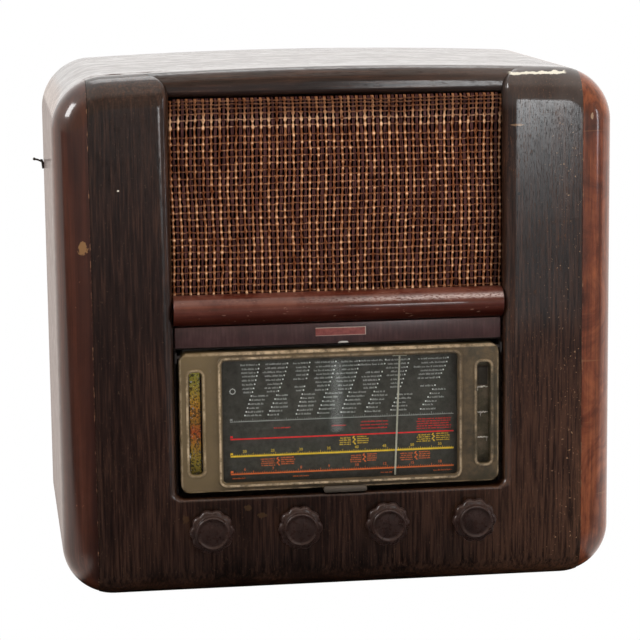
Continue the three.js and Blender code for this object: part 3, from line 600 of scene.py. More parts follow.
def dial_bakelite():
    """Bronze-brown bakelite, with its beads and outer edges rubbed to a pale tan; along the top edge the pale
    tan is also a painted highlight.
    """
    s = Shader("dial bakelite")
    x, y, z = s.axis("X"), s.axis("Y"), s.axis("Z")
    aside = s.math("ABSOLUTE", x)
    cloudy = s.noise(s.place, 38, 5, 0.65)
    tones = s.blend((cloudy, 0.6), (s.noise(s.place, 240, 5, 0.7), 0.4))
    base = s.ramp(tones, (0.38, (0.046, 0.0330, 0.0165)), (0.62, (0.128, 0.0850, 0.0390)))
    base = s.mix(s.rise(x, -0.10, -0.135, 0.0, 0.75), base, (0.195, 0.134, 0.058))
    greenish = s.both(s.rise(x, 0.12, 0.14), s.rise(tones, 0.56, 0.46), 0.5)
    base = s.mix(greenish, base, (0.050, 0.046, 0.026))

    crest = s.both(s.rise(y, DIAL_LO.y + 0.26 * MM, DIAL_LO.y + 0.03 * MM),
                   s.most(s.rise(z, 0.20, 0.14, 0.35, 1.0), s.rise(x, 0.0, -0.10)))
    beside = s.both(s.rise(y, DIAL_LO.y + 0.85 * MM, DIAL_LO.y + 0.58 * MM), s.rise(aside, 0.128, 0.130),
                    s.rise(cloudy, 0.40, 0.58, 0.15, 0.85))
    # The top edge is worn pale and also carries a painted highlight, where light from above falls on it.
    top = s.both(s.rise(z, DIAL_HI.z - 3.4 * MM, DIAL_HI.z - 2.0 * MM), s.rise(x, -0.145, -0.08, 0.35, 1.0))
    foot = s.rise(z, DIAL_LO.z + 2.6 * MM, DIAL_LO.z + 0.9 * MM, 0.0, 0.6)
    ends = s.rise(aside, DIAL_HI.x - 2.6 * MM, DIAL_HI.x - 1.2 * MM, 0.0, 0.75)
    rim = s.both(s.most(top, foot, ends), s.rise(y, DIAL_LO.y + 5.5 * MM, DIAL_LO.y + 3.5 * MM))
    scuffs = s.rise(s.noise(s.place, 90, 6, 0.75), 0.36, 0.60, 0.10, 1.0)
    scuffs = s.both(scuffs, s.rise(x, 0.06, 0.14, 1.0, 0.6))
    colour = s.mix(s.both(s.most(crest, beside, rim), scuffs), base, (0.60, 0.44, 0.27))
    specks = s.rise(s.noise(s.place, 520, 2), 0.70, 0.76)
    colour = s.mix(s.both(specks, 0.35), colour, (0.22, 0.18, 0.14))
    rough = s.ramp(s.noise(s.place, 120, 5, 0.7), (0.3, 0.30), (0.7, 0.50))
    return s.done(Base_Color=colour, Roughness=rough, Normal=s.bump(s.noise(s.place, 260, 4), 0.14, 0.0003))


def knob_bakelite():
    """Marbled dark brown bakelite with pale dirt in its hollows."""
    s = Shader("knob bakelite")
    marbled = s.noise(s.place, 60, 5, 0.7, 1.5)
    base = s.ramp(marbled, (0.3, (0.0170, 0.0078, 0.0060)), (0.7, (0.040, 0.0190, 0.0145)))
    dirt = s.rise(s.noise(s.place, 500, 4, 0.7), 0.58, 0.74)
    colour = s.mix(s.both(dirt, 0.30), base, (0.075, 0.055, 0.045))
    rough = s.ramp(s.noise(s.place, 220, 4, 0.7), (0.3, 0.20), (0.7, 0.40))
    return s.done(Base_Color=colour, Roughness=rough, Normal=s.bump(dirt, 0.08, 0.0003))


def yarn(name, crown, worn, share, *stops, fibre=(900, 900, 260), patch=(130, 130, 60)):
    """Slubby thread: its tone drifts, its crowns carry a painted highlight in the colour worn at strength
    share, and painted shade darkens it at the right and the top.
    """
    s = Shader(name)
    z = s.axis("Z")
    drift = s.noise(s.stretch(*patch), detail=4, roughness=0.7)
    fibres = s.noise(s.stretch(*fibre), detail=3, roughness=0.6)
    colour = s.ramp(s.blend((drift, 0.75), (fibres, 0.25)), *stops)
    # Painted highlight: the forward crowns lightened in patches, less so near the top.
    rubbed = s.both(s.rise(s.axis("Y"), *crown), s.rise(drift, 0.36, 0.60),
                    s.rise(z, CLOTH_TOP - 12 * MM, CLOTH_TOP - 26 * MM, 0.12, share))
    colour = s.mix(rubbed, colour, worn)
    # Painted shade: darker towards the right edge, and towards the top under the rail.
    edge = s.most(s.rise(s.axis("X"), CLOTH_HALF - 1 * MM, CLOTH_HALF - 16 * MM, 0.55, 0.0),
                  s.rise(z, CLOTH_TOP - 22 * MM, CLOTH_TOP - 6 * MM, 0.0, 0.35))
    return s.done(Base_Color=s.mix(edge, colour, (0.010, 0.005, 0.004)), Roughness=0.75,
                  Specular_IOR_Level=0.12, Normal=s.bump(fibres, 0.5, 0.0004))


def clear_glass(name, roughness=0.02, dust=None):
    """Thin glass: lets light straight through, mirrors at its surface, and may carry white specks on a film,
    as dust() gives them; on the pebbled lens they are painted glints.
    """
    s = Shader(name)
    through = s.node("ShaderNodeBsdfTransparent", Color=(0.93, 0.95, 0.93))
    mirror = s.node("ShaderNodeBsdfGlossy", Color=(1.0, 1.0, 1.0), Roughness=roughness)
    shine = s.node("ShaderNodeMixShader")
    slant = s.node("ShaderNodeLayerWeight", Blend=0.5).outputs["Facing"]
    s.put(shine.inputs[0], s.add(s.both(s.math("POWER", slant, 5.0), 0.978), 0.022))
    s.tree.links.new(through.outputs[0], shine.inputs[1])
    s.tree.links.new(mirror.outputs[0], shine.inputs[2])
    if not dust:
        return s.instead(shine)
    film = s.node("ShaderNodeMixShader")
    s.put(film.inputs[0], dust(s))
    s.tree.links.new(shine.outputs[0], film.inputs[1])
    s.tree.links.new(s.node("ShaderNodeBsdfDiffuse", Color=(0.80, 0.78, 0.74)).outputs[0], film.inputs[2])
    return s.instead(film)


def lens_glints(s):
    """Painted glints: white specks in the pebbled lens, most of them down the left side, in place of its
    sparkle.
    """
    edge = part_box("tone_lens")[0].x
    grains = s.rise(s.noise(s.place, 360, 3, 0.7), 0.62, 0.66)
    left = s.rise(s.axis("X"), edge + 8 * MM, edge + 5 * MM, 0.25, 1.0)
    return s.both(grains, left)


def tone_strip_paint():
    """Bands of yellow-green, orange and red that run into each other down the strip."""
    s = Shader("tone strip paint")
    lo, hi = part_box("tone_indicator")
    grit = s.noise(s.place, 420, 5, 0.75)
    height = s.rise(s.axis("Z"), lo.z, hi.z)
    mixed = s.add(height, s.both(s.math("SUBTRACT", grit, 0.5), 0.35))
    colour = s.ramp(mixed, (0.04, (0.52, 0.36, 0.025)), (0.20, (0.80, 0.34, 0.020)),
                    (0.36, (0.90, 0.115, 0.012)), (0.50, (0.60, 0.26, 0.020)), (0.66, (0.95, 0.34, 0.018)),
                    (0.84, (0.80, 0.44, 0.030)), (1.0, (0.55, 0.48, 0.050)))
    dark = s.rise(s.noise(s.place, 560, 3), 0.46, 0.60, 0.0, 0.85)
    return s.done(Base_Color=s.mix(dark, colour, (0.060, 0.045, 0.010)), Roughness=0.7)


def band_cell_paint():
    """Muddy green and brown cells, one above the other."""
    s = Shader("band cell paint")
    tones = s.noise(s.stretch(30, 30, 46), detail=3)
    grit = s.noise(s.place, 300, 4, 0.7)
    colour = s.ramp(s.blend((tones, 0.7), (grit, 0.3)), (0.36, (0.050, 0.046, 0.026)),
                    (0.50, (0.140, 0.108, 0.062)), (0.64, (0.260, 0.170, 0.115)))
    return s.done(Base_Color=colour, Roughness=0.6)


def badge_enamel():
    """Pink-red enamel with a thin rubbed rim."""
    s = Shader("badge enamel")
    lo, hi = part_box("blank_badge")
    x, z = s.axis("X"), s.axis("Z")
    cloudy = s.noise(s.stretch(150, 150, 260), detail=5, roughness=0.65)
    rim = s.most(s.rise(z, hi.z - 1.1 * MM, hi.z - 0.4 * MM), s.rise(x, hi.x - 1.2 * MM, hi.x - 0.5 * MM),
                 s.rise(z, lo.z + 1.0 * MM, lo.z + 0.3 * MM, 0.0, 0.6))
    colour = s.ramp(cloudy, (0.3, (0.20, 0.035, 0.032)), (0.7, (0.40, 0.105, 0.085)))
    return s.done(Base_Color=s.mix(rim, colour, (0.62, 0.47, 0.40)), Roughness=0.35)


# ---------------------------------------------------------------- cabinet
def rolled(distance, radius):
    """Depth of a quarter-round roll at a distance in from its edge."""
    left = np.clip(radius - distance, 0, radius)
    return radius - np.sqrt(radius ** 2 - left ** 2)


def softer_max(a, b, width):
    return (a + b + np.sqrt((a - b) ** 2 + width ** 2)) / 2 - width / 2


def roll_insets(radius, steps):
    """Insets that split a quarter-round roll into equal angles, from its edge inwards."""
    return [radius * (1 - math.sin(math.pi / 2 * i / steps)) for i in range(steps, -1, -1)]


def hub(name):
    """Centre of a knob's shaft."""
    lo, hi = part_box(f"{name}_shaft")
    return (lo + hi) / 2


OUTLINE = cabinet_outline(0)
RECESS = recess_outline(0)
ROLL_STEPS = 16


def front_depth(points):
    """Depth of the front's face: rolled at the outline, tightly at the ledge and softly beside the recess."""
    outer = rolled(distance_to(OUTLINE, points), ROLL)
    distance = distance_to(RECESS, points)
    share = np.clip((points[:, 1] - LEDGE_Z) / RECESS_ROLL, 0, 1)
    inner = rolled(distance, LEDGE_ROLL) * (1 - share) + rolled(distance, RECESS_ROLL) * share
    return FRONT + softer_max(outer, inner, 3 * MM)


def tall_box(x0, x1):
    """A band that reaches well above and below the cabinet."""
    low, high = FLOOR_Z - 20 * MM, SIDE_TOP + 90 * MM
    return np.array([[x0, low], [x1, low], [x1, high], [x0, high]])


def make_front_frame():
    """Two pillars and the panel under the dial, rolled outwards at the outline and into the recess."""
    shaft_holes = [circle(hub(name).x, hub(name).z, 6 * MM) for name in KNOBS]
    loops = [cabinet_outline(inset) for inset in roll_insets(ROLL, ROLL_STEPS)]
    loops += [recess_outline(spread) for spread in roll_insets(RECESS_ROLL, 10)]
    loops += [tall_box(-SEAM, SEAM)] + shaft_holes

    def keep(points):
        kept = inside(OUTLINE, points) & ~inside(RECESS, points) & (np.abs(points[:, 0]) < SEAM)
        for hole in shaft_holes:
            kept &= ~inside(hole, points)
        return kept

    obj = relief("front_frame_veneered", loops, keep, front_depth, FRONT + ROLL)
    lo = BAFFLE_LO - Vector((GAP, GAP, 0))
    hi = Vector((BAFFLE_HI.x + GAP, FRONT + ROLL + 5 * MM, BAFFLE_HI.z + GAP))
    cut_box(obj, lo, hi)
    return stands_in(obj, "front_frame")


def make_post(name, side):
    """A corner post, from the seam round to the side."""
    edge = SEAM + GAP
    x0, x1 = sorted((side * edge, side * (HALF + 20 * MM)))
    loops = [cabinet_outline(inset) for inset in roll_insets(ROLL, ROLL_STEPS)] + [tall_box(x0, x1)]

    def keep(points):
        return inside(OUTLINE, points) & (side * points[:, 0] > edge)

    def depth(points):
        return FRONT + rolled(distance_to(OUTLINE, points), ROLL)

    obj = relief(name + "_veneered", loops, keep, depth, FRONT + ROLL)
    return stands_in(obj, name)


def make_case():
    """The bent plywood wrap: a closed profile of outside, eased back edge, cover seat and inner wall."""
    front, seat = FRONT + ROLL + GAP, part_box("back_cover")[0].y
    ease, lip = 1.5 * MM, WALL - 4 * MM
    path = [(0, front), (0, BACK - ease), (ease * 0.3, BACK - ease * 0.3), (ease, BACK), (lip, BACK),
            (lip, seat), (WALL, seat), (WALL, front)]
    rings = [at_depth(cabinet_outline(inset), y) for inset, y in path]
    obj = ring_loft("cabinet_case_veneered", rings, closed_path=True, smooth_degrees=35)
    return stands_in(obj, "cabinet_case")


def make_top_rail():
    """The dark rail over the cloth: rounded under, upright for a little, then rolled back to the top."""
    low, setback, under = RAIL_LO.z, RAIL_LO.y, 6 * MM
    radius = ROLL - (setback - FRONT) - 4 * MM
    mouth = recess_outline(-GAP)
    crisp, reach, above = 0.4 * MM, 300 * MM, SIDE_TOP + 100 * MM
    insets = roll_insets(radius, 14) + [radius + crisp]
    loops = [cabinet_outline(inset, top_steps=60) for inset in insets] + [mouth]
    for inset in roll_insets(under, 8) + [under + crisp]:
        lift = low + inset
        loops.append(np.array([[-reach, lift], [reach, lift], [reach, above], [-reach, above]]))

    def keep(points):
        return inside(OUTLINE, points) & inside(mouth, points) & (points[:, 1] > low)

    def depth(points):
        upper = rolled(distance_to(OUTLINE, points), radius)
        return setback + np.maximum(upper, rolled(points[:, 1] - low, under))

    obj = relief("top_rail_rolled", loops, keep, depth, FRONT + ROLL)
    return stands_in(obj, "top_rail")


def make_moulding():
    """The half-round bar under the cloth."""
    lo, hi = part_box("cloth_moulding")
    turns = np.radians(np.linspace(-90, 90, 37))
    middle, half, deep = (lo.z + hi.z) / 2, (hi.z - lo.z) / 2, hi.y - lo.y
    section = np.stack([hi.y - deep * np.cos(turns), middle + half * np.sin(turns)], axis=1)
    obj = bar_along_x("cloth_moulding_bar", section, lo.x, hi.x, 1.2 * MM)
    return stands_in(obj, "cloth_moulding")


def eased_copy(name, bevel):
    """A node that is a plain box, made again with rounded edges."""
    obj = box_piece(f"{name}_eased", *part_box(name), bevel=bevel)
    return stands_in(obj, name)


def make_dust_felt(side):
    """A felt strip behind the gap beside the dial, so that no light comes through from the back."""
    x0, x1 = sorted((side * (DIAL_HI.x - 8 * MM), side * (BAFFLE_HI.x - 4 * MM)))
    y = max(DIAL_HI.y, BAFFLE_HI.y) + 0.8 * MM
    name = "dust_felt_left" if side < 0 else "dust_felt_right"
    return box_piece(name, (x0, y, DIAL_LO.z), (x1, y + 1 * MM, DIAL_HI.z - 2 * MM))


def make_aerial_end():
    """The bare end of the aerial lead: a short upright stub, and a rod that ends in a small ball."""
    y, z, sides = BACK - 8 * MM, 404.5 * MM, 12
    upright, outwards = (1, 0, 0), (0, 0, 1)  # the way each tube's width is measured
    rod_end, rod_rise, ball_radius = 10 * MM, 3.5 * MM, 1.6 * MM

    def beside(*places):
        """Points at distances out from the cabinet's side and up from the lead's exit."""
        return np.array([[-HALF - out, y, z + up] for out, up in places])

    def tube(path, radius, across):
        return thread(path, radius, radius, across, sides)

    stub = beside((0.6 * MM, -7 * MM), (1.4 * MM, 0), (2.4 * MM, 3 * MM))
    rod = beside((1 * MM, 0), (6 * MM, 2.5 * MM), (rod_end, rod_rise))
    shares = np.linspace(-0.98, 0.98, 9)
    ball = beside(*[(rod_end + ball_radius * share, rod_rise) for share in shares])
    return threads_piece("aerial_lead_end", [
        tube(stub, np.full(3, 1.3 * MM), upright),
        tube(rod, np.full(3, 1.1 * MM), outwards),
        tube(ball, ball_radius * np.sqrt(1 - shares ** 2), outwards),
    ])


# ---------------------------------------------------------------- grille cloth
WARP_PITCH = 7.8 * MM
WEFT_PITCH = 6.6 * MM
TOP_ROWS = (28, 21, 15, 10, 6, 3)  # how far below the cloth's top its last rows lie, in millimetres
CLOTH_HALF = CLOTH_HI.x
CLOTH_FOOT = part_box("cloth_moulding")[1].z + 0.3 * MM
CLOTH_TOP = CLOTH_HI.z - 0.5 * MM
CLOTH_CORNER = 5 * MM
CLOTH_Y = (CLOTH_LO.y + CLOTH_HI.y) / 2 - 0.7 * MM
PAIR_HALF = 0.62 * MM  # half the distance between the two threads of a pair
CROSSED_SHARE = 0.12  # of the wefts' crossings, those that pass the other way


def thread(path, width, depth, across, sides=6):
    """A closed tube along path. Its section spans the across direction and y."""
    turns = np.arange(sides) / sides * 2 * math.pi
    side = np.cos(turns)[None, :, None] * width[:, None, None] * np.array(across)
    out = np.sin(turns)[None, :, None] * depth[:, None, None] * np.array((0, 1, 0))
    vertices = (path[:, None, :] + side + out).reshape(-1, 3)
    faces = []
    for r in range(len(path) - 1):
        for i in range(sides):
            j = (i + 1) % sides
            faces.append((r * sides + i, r * sides + j, (r + 1) * sides + j, (r + 1) * sides + i))
    last = (len(path) - 1) * sides
    faces.append(tuple(reversed(range(sides))))
    faces.append(tuple(range(last, last + sides)))
    return vertices, faces


def threads_piece(name, threads):
    vertices, faces, start = [], [], 0
    for points, quads in threads:
        vertices.append(points)
        faces += [tuple(start + i for i in quad) for quad in quads]
        start += len(points)
    return mesh_piece(name, np.concatenate(vertices), faces, 80)


def weft_rows():
    """Heights of the cross threads: even, then closing up under the rail."""
    even = np.arange(CLOTH_FOOT + 1 * MM, CLOTH_TOP - TOP_ROWS[0] * MM - WEFT_PITCH / 2, WEFT_PITCH)
    return np.concatenate([even, [CLOTH_TOP - drop * MM for drop in TOP_ROWS]])


def drift_x(x, z):
    """How far the cloth has slipped sideways at a place."""
    broad = 1.3 * MM * np.sin(z / 0.055 + x / 0.21) * np.sin(x / 0.09 + 1.1)
    return broad + 0.5 * MM * np.sin(z / 0.021 + x / 0.05)


def drift_z(x, z):
    """How far it has slipped up or down there."""
    return 0.6 * MM * np.sin(x / 0.047 + z / 0.03) + 0.3 * MM * np.sin(x / 0.013 + z / 0.011)


def settled(path):
    """Swells a path forward near the top, tucks it in at the edge and keeps it within the round corners."""
    swell, tuck_in = 2.4 * MM, 3.2 * MM
    beyond = np.clip(np.abs(path[:, 0]) - (CLOTH_HALF - CLOTH_CORNER), 0, CLOTH_CORNER)
    top = CLOTH_TOP - CLOTH_CORNER + np.sqrt(CLOTH_CORNER ** 2 - beyond ** 2)
    below = top - np.minimum(path[:, 2], top)
    rise = np.clip((34 * MM - below) / (26 * MM), 0, 1)
    tuck = np.clip(1 - below / (4 * MM), 0, 1)
    path[:, 1] += tuck_in * tuck ** 2 - swell * rise ** 2 * (3 - 2 * rise)
    path[:, 2] = np.maximum(np.minimum(path[:, 2], top), CLOTH_FOOT - 0.2 * MM)
    return path


def make_cloth():
    """Thick golden warps, pairs of thin plum warps between them, and thin wefts that cross over the pairs."""
    rng = np.random.default_rng(11)
    rows = weft_rows()
    half = CLOTH_HALF - 1.8 * MM
    count = round(2 * half / WARP_PITCH)
    gold = np.linspace(-half, half, count + 1)
    middles = (gold[1:] + gold[:-1]) / 2
    heights = np.concatenate([np.linspace(a, b, 5, endpoint=False) for a, b in zip(rows[:-1], rows[1:])])
    heights = np.concatenate([[CLOTH_FOOT - 0.2 * MM], heights, [rows[-1], CLOTH_TOP - 1.5 * MM, CLOTH_TOP]])
    phase = np.interp(heights, rows, np.arange(len(rows)))

    def spread_over(values, low, high, at):
        return np.interp(at, np.linspace(low, high, len(values)), values)

    def warp(x, width, depth, lift, slub, beads, sides):
        near_row = np.cos(phase * 2 * math.pi)
        bumps = spread_over(rng.uniform(0.7, 1.25, len(rows)), 0, len(rows) - 1, phase)
        wander = spread_over(rng.normal(0, 0.24 * MM, 26), heights[0], heights[-1], heights)
        size = 1 + slub * spread_over(rng.normal(0, 1, 70), 0, len(rows), phase)
        wide = width * np.clip(size, 0.55, 1.55) * (1 + beads * near_row)
        across = np.clip(x + wander + drift_x(x, heights), -CLOTH_HALF + wide, CLOTH_HALF - wide)
        path = np.stack([across, CLOTH_Y - lift * near_row * bumps, heights], axis=1)
        return thread(settled(path), wide, np.full_like(wide, depth), (1, 0, 0), sides)

    def warps(name, places, *shape):
        return threads_piece(name, [warp(x, *shape) for x in places])

    golden = warps("cloth_gold_warps", gold, 1.1 * MM, 0.85 * MM, 0.7 * MM, 0.14, 0.3, 6)
    pairs = [x + side * PAIR_HALF for x in middles for side in (-1, 1)]
    darker = warps("cloth_dark_warps", pairs, 0.66 * MM, 0.5 * MM, -0.25 * MM, 0.25, 0.1, 4)
    along = np.linspace(-CLOTH_HALF, CLOTH_HALF, 8 * count + 1)
    cycle = np.interp(along, gold, np.arange(len(gold)))
    over_pair = -np.cos(cycle * 2 * math.pi)
    wefts = []
    for z in rows:
        crossed = np.interp(cycle, np.arange(len(gold)), (rng.random(len(gold)) < CROSSED_SHARE) * 1.0)
        bend = -0.8 * MM * over_pair * (1 - 1.7 * crossed * (over_pair < 0))
        wander = spread_over(rng.normal(0, 0.30 * MM, 60), -half, half, along)
        path = np.stack([along, CLOTH_Y + bend, z + wander + drift_z(along, z)], axis=1)
        slub = spread_over(rng.normal(0, 1, 130).clip(-1.6, 1.6), -half, half, along)
        wide = 0.7 * MM * (1 + 0.2 * slub)
        wefts.append(thread(settled(path), wide, wide * 0.6, (0, 0, 1), 5))
    crossing = threads_piece("cloth_wefts", wefts)
    # Painted shade: a near-black sheet behind the weave, standing for the dark inside of the cabinet seen
    # through its gaps.
    shade_sheet = box_piece("cloth_backing", (-CLOTH_HALF, CLOTH_HI.y - 0.3 * MM, CLOTH_LO.z), CLOTH_HI)
    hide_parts("speaker_cloth")
    # Thread crowns forward of these depths carry the painted highlight.
    crown = (CLOTH_Y - 0.7 * MM, CLOTH_Y - 1.5 * MM)
    # Each yarn takes its crowns' painted highlight colour and that highlight's strength, then its tones.
    looks = (
        (golden, yarn("gold yarn", crown, (1.0, 0.62, 0.36), 0.95, (0.36, (0.13, 0.036, 0.0120)),
                      (0.46, (0.230, 0.073, 0.0260)), (0.55, (0.36, 0.130, 0.050)),
                      (0.66, (0.50, 0.235, 0.110)))),
        (darker, yarn("plum yarn", crown, (0.13, 0.066, 0.066), 0.5, (0.35, (0.046, 0.0150, 0.0130)),
                      (0.65, (0.150, 0.056, 0.050)))),
        (crossing, yarn("brown yarn", crown, (0.56, 0.36, 0.25), 0.6, (0.36, (0.090, 0.030, 0.0130)),
                        (0.54, (0.190, 0.066, 0.0270)), (0.68, (0.34, 0.155, 0.078)),
                        fibre=(260, 900, 900), patch=(220, 160, 160))),
        (shade_sheet, mottled("backing cloth", (0.0022, 0.0016, 0.0015), 0.95, Specular_IOR_Level=0.0)),
    )
    for obj, material in looks:
        give(obj, material, "cabinet")


# ---------------------------------------------------------------- dial
DIAL_FACE = DIAL_LO.y + 1.4 * MM
DIAL_MIDDLE = (DIAL_LO.z + DIAL_HI.z) / 2
DIAL_WALL = 4 * MM
WINDOW_HALF, WINDOW_HIGH = 117 * MM, 61 * MM  # half the middle window's width and height
SIDE_WINDOW_X = 143 * MM
SIDE_WINDOW_HALF, SIDE_WINDOW_HIGH = 6.5 * MM, 51 * MM
WINDOW_CORNER = 4 * MM


def bead_height(loop, points, width, height):
    """A rounded bead that runs round a window's edge."""
    share = np.clip(distance_to(loop, points) / width, 0, 1)
    return height * np.sqrt(np.clip(1 - (2 * share - 1) ** 2, 0, 1))


def window_loop(box, grow=0.0):
    x0, x1, z0, z1 = box
    return rounded_rect(x0 - grow, x1 + grow, z0 - grow, z1 + grow, WINDOW_CORNER + grow)


def dial_windows():
    """The middle, left and right windows, each as (box, bead width, bead height)."""
    def box(x, half, high):
        return (x - half, x + half, DIAL_MIDDLE - high, DIAL_MIDDLE + high)

    middle = (box(0, WINDOW_HALF, WINDOW_HIGH), 5 * MM, 1.4 * MM)
    return [middle] + [(box(x, SIDE_WINDOW_HALF, SIDE_WINDOW_HIGH), 3.5 * MM, 0.9 * MM)
                       for x in (-SIDE_WINDOW_X, SIDE_WINDOW_X)]


def make_dial_housing():
    """The moulded frame: rounded outer edge, beaded windows and a hollow back."""
    corner, round_off = 9 * MM, 3 * MM

    def outline(inset):
        return rounded_rect(DIAL_LO.x + inset, DIAL_HI.x - inset, DIAL_LO.z + inset, DIAL_HI.z - inset,
                            corner - inset, 10)

    edge = outline(0)
    loops = [edge] + [outline(inset) for inset in roll_insets(round_off, 6)[1:]]
    windows = dial_windows()
    for box, width, _ in windows:
        for share in np.linspace(0, 1, 9):
            loops.append(window_loop(box, width * (1 - math.cos(math.pi * share)) / 2))
    holes = [window_loop(box) for box, _, _ in windows]

    def keep(points):
        kept = inside(edge, points)
        for hole in holes:
            kept &= ~inside(hole, points)
        return kept

    def depth(points):
        y = DIAL_FACE + rolled(distance_to(edge, points), round_off)
        for (_, width, height), hole in zip(windows, holes):
            near = distance_to(hole, points) < width
            y = y - np.where(near, bead_height(hole, points, width, height), 0)
        return y

    obj = relief("dial_housing_moulded", loops, keep, depth, DIAL_HI.y)
    lo = Vector((DIAL_LO.x + DIAL_WALL, DIAL_FACE + DIAL_WALL, DIAL_LO.z + DIAL_WALL))
    hi = Vector((DIAL_HI.x - DIAL_WALL, DIAL_HI.y + 5 * MM, DIAL_HI.z - DIAL_WALL))
    cut_box(obj, lo, hi)
    return stands_in(obj, "dial_housing")


def make_cell_card():
    """The painted card behind the right window."""
    margin, behind, thick = 1 * MM, 0.6 * MM, 0.6 * MM
    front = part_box("band_indicator")[1].y + behind
    lo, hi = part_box("band_lens")
    return box_piece("band_window_card", (lo.x + margin, front, lo.z + margin),
                     (hi.x - margin, front + thick, hi.z - margin))


def make_pebbled_lens():
    """The left window's lens, pebbled on its front."""
    lo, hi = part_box("tone_lens")
    step, pebble, relief_depth = 0.7 * MM, 2.2 * MM, 0.9 * MM
    columns, rows = int((hi.x - lo.x) / step), int((hi.z - lo.z) / step)
    rng = np.random.default_rng(5)
    centres = rng.uniform((lo.x, lo.z), (hi.x, hi.z), (420, 2))
    xs, zs = np.linspace(lo.x, hi.x, columns + 1), np.linspace(lo.z, hi.z, rows + 1)
    grid = np.stack(np.meshgrid(xs, zs), axis=-1).reshape(-1, 2)
    nearest = np.min(np.linalg.norm(grid[:, None, :] - centres[None], axis=2), axis=1)
    front = lo.y + np.clip(nearest / pebble, 0, 1) ** 1.5 * relief_depth
    count = len(grid)
    vertices = np.concatenate([np.stack([grid[:, 0], front, grid[:, 1]], axis=1), at_depth(grid, hi.y)])
    faces = []
    wide = columns + 1
    for r in range(rows):
        for c in range(columns):
            a = r * wide + c
            faces.append((a, a + 1, a + wide + 1, a + wide))
            faces.append((count + a, count + a + wide, count + a + wide + 1, count + a + 1))
    rim = list(range(columns)) + [r * wide + columns for r in range(rows)]
    rim += [rows * wide + c for c in range(columns, 0, -1)] + [r * wide for r in range(rows, 0, -1)]
    for a, b in zip(rim, rim[1:] + rim[:1]):
        faces.append((a, a + count, b + count, b))
    obj = mesh_piece("tone_lens_pebbled", vertices, faces, 60)
    return stands_in(obj, "tone_lens")


LOBES = 10
KNOB_SECTIONS = 200
# from the knob's back to its front: radius in millimetres, share of the depth, share of the lobes
KNOB_PROFILE = (
    (15.5, 0.0, 0), (17.5, 0.02, 0), (19.4, 0.09, 0.5), (20.6, 0.17, 0.9), (21, 0.24, 1.0), (21, 0.40, 1.0),
    (20.8, 0.47, 1.0), (20.2, 0.53, 0.95), (19.3, 0.575, 0.8), (18.2, 0.60, 0.45), (17.4, 0.61, 0.1),
    (16.9, 0.64, 0), (16.8, 0.80, 0), (16.7, 0.90, 0), (16.35, 0.955, 0), (15.7, 0.988, 0), (15.0, 0.995, 0),
    (14.3, 0.985, 0), (13.6, 0.955, 0), (12.8, 0.94, 0), (11.0, 0.945, 0), (8.0, 0.965, 0), (4.5, 0.98, 0),
)


def make_knob(name):
    """Ten convex lobes, with a cusp between each two, behind a raised round boss with a rolled rim."""
    lo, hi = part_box(f"{name}_knob")
    centre, deep = (lo + hi) / 2, hi.y - lo.y
    sections, profile = KNOB_SECTIONS, KNOB_PROFILE
    turn = np.arange(sections) / sections * 2 * math.pi
    lobe = 2 * np.sqrt(np.cos(LOBES / 2 * turn) ** 2 + 0.02) - 1.02
    vertices, faces = [(centre.x, hi.y, centre.z)], []
    for radius, share, lobes in profile:
        reach = (radius + lobes * lobe) * MM
        y = np.full(sections, hi.y - deep * share)
        vertices += list(zip(centre.x + reach * np.cos(turn), y, centre.z + reach * np.sin(turn)))
    vertices.append((centre.x, hi.y - deep * 0.985, centre.z))
    rings, last = len(profile), len(vertices) - 1
    for i in range(sections):
        j = (i + 1) % sections
        faces.append((0, 1 + i, 1 + j))
        faces.append((last, last - sections + j, last - sections + i))
        for r in range(rings - 1):
            a, b = 1 + r * sections, 1 + (r + 1) * sections
            faces.append((a + i, b + i, b + j, a + j))
    obj = mesh_piece(f"{name}_knob_lobed", vertices, faces, 35)
    return stands_in(obj, f"{name}_knob")


# ---------------------------------------------------------------- printed scales
PLATE_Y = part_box("scale_plate")[0].y
SCALE_START, SCALE_END = -108.5 * MM, 114.5 * MM
SCALE_LINES = {  # height and thickness of each printed line
    "white": (174.5 * MM, 0.7 * MM),
    "red": (157 * MM, 1.3 * MM),
    "yellow": (139.7 * MM, 1.6 * MM),
    "orange": (121.8 * MM, 1.3 * MM),
}
TICK_PITCH = 2.23 * MM


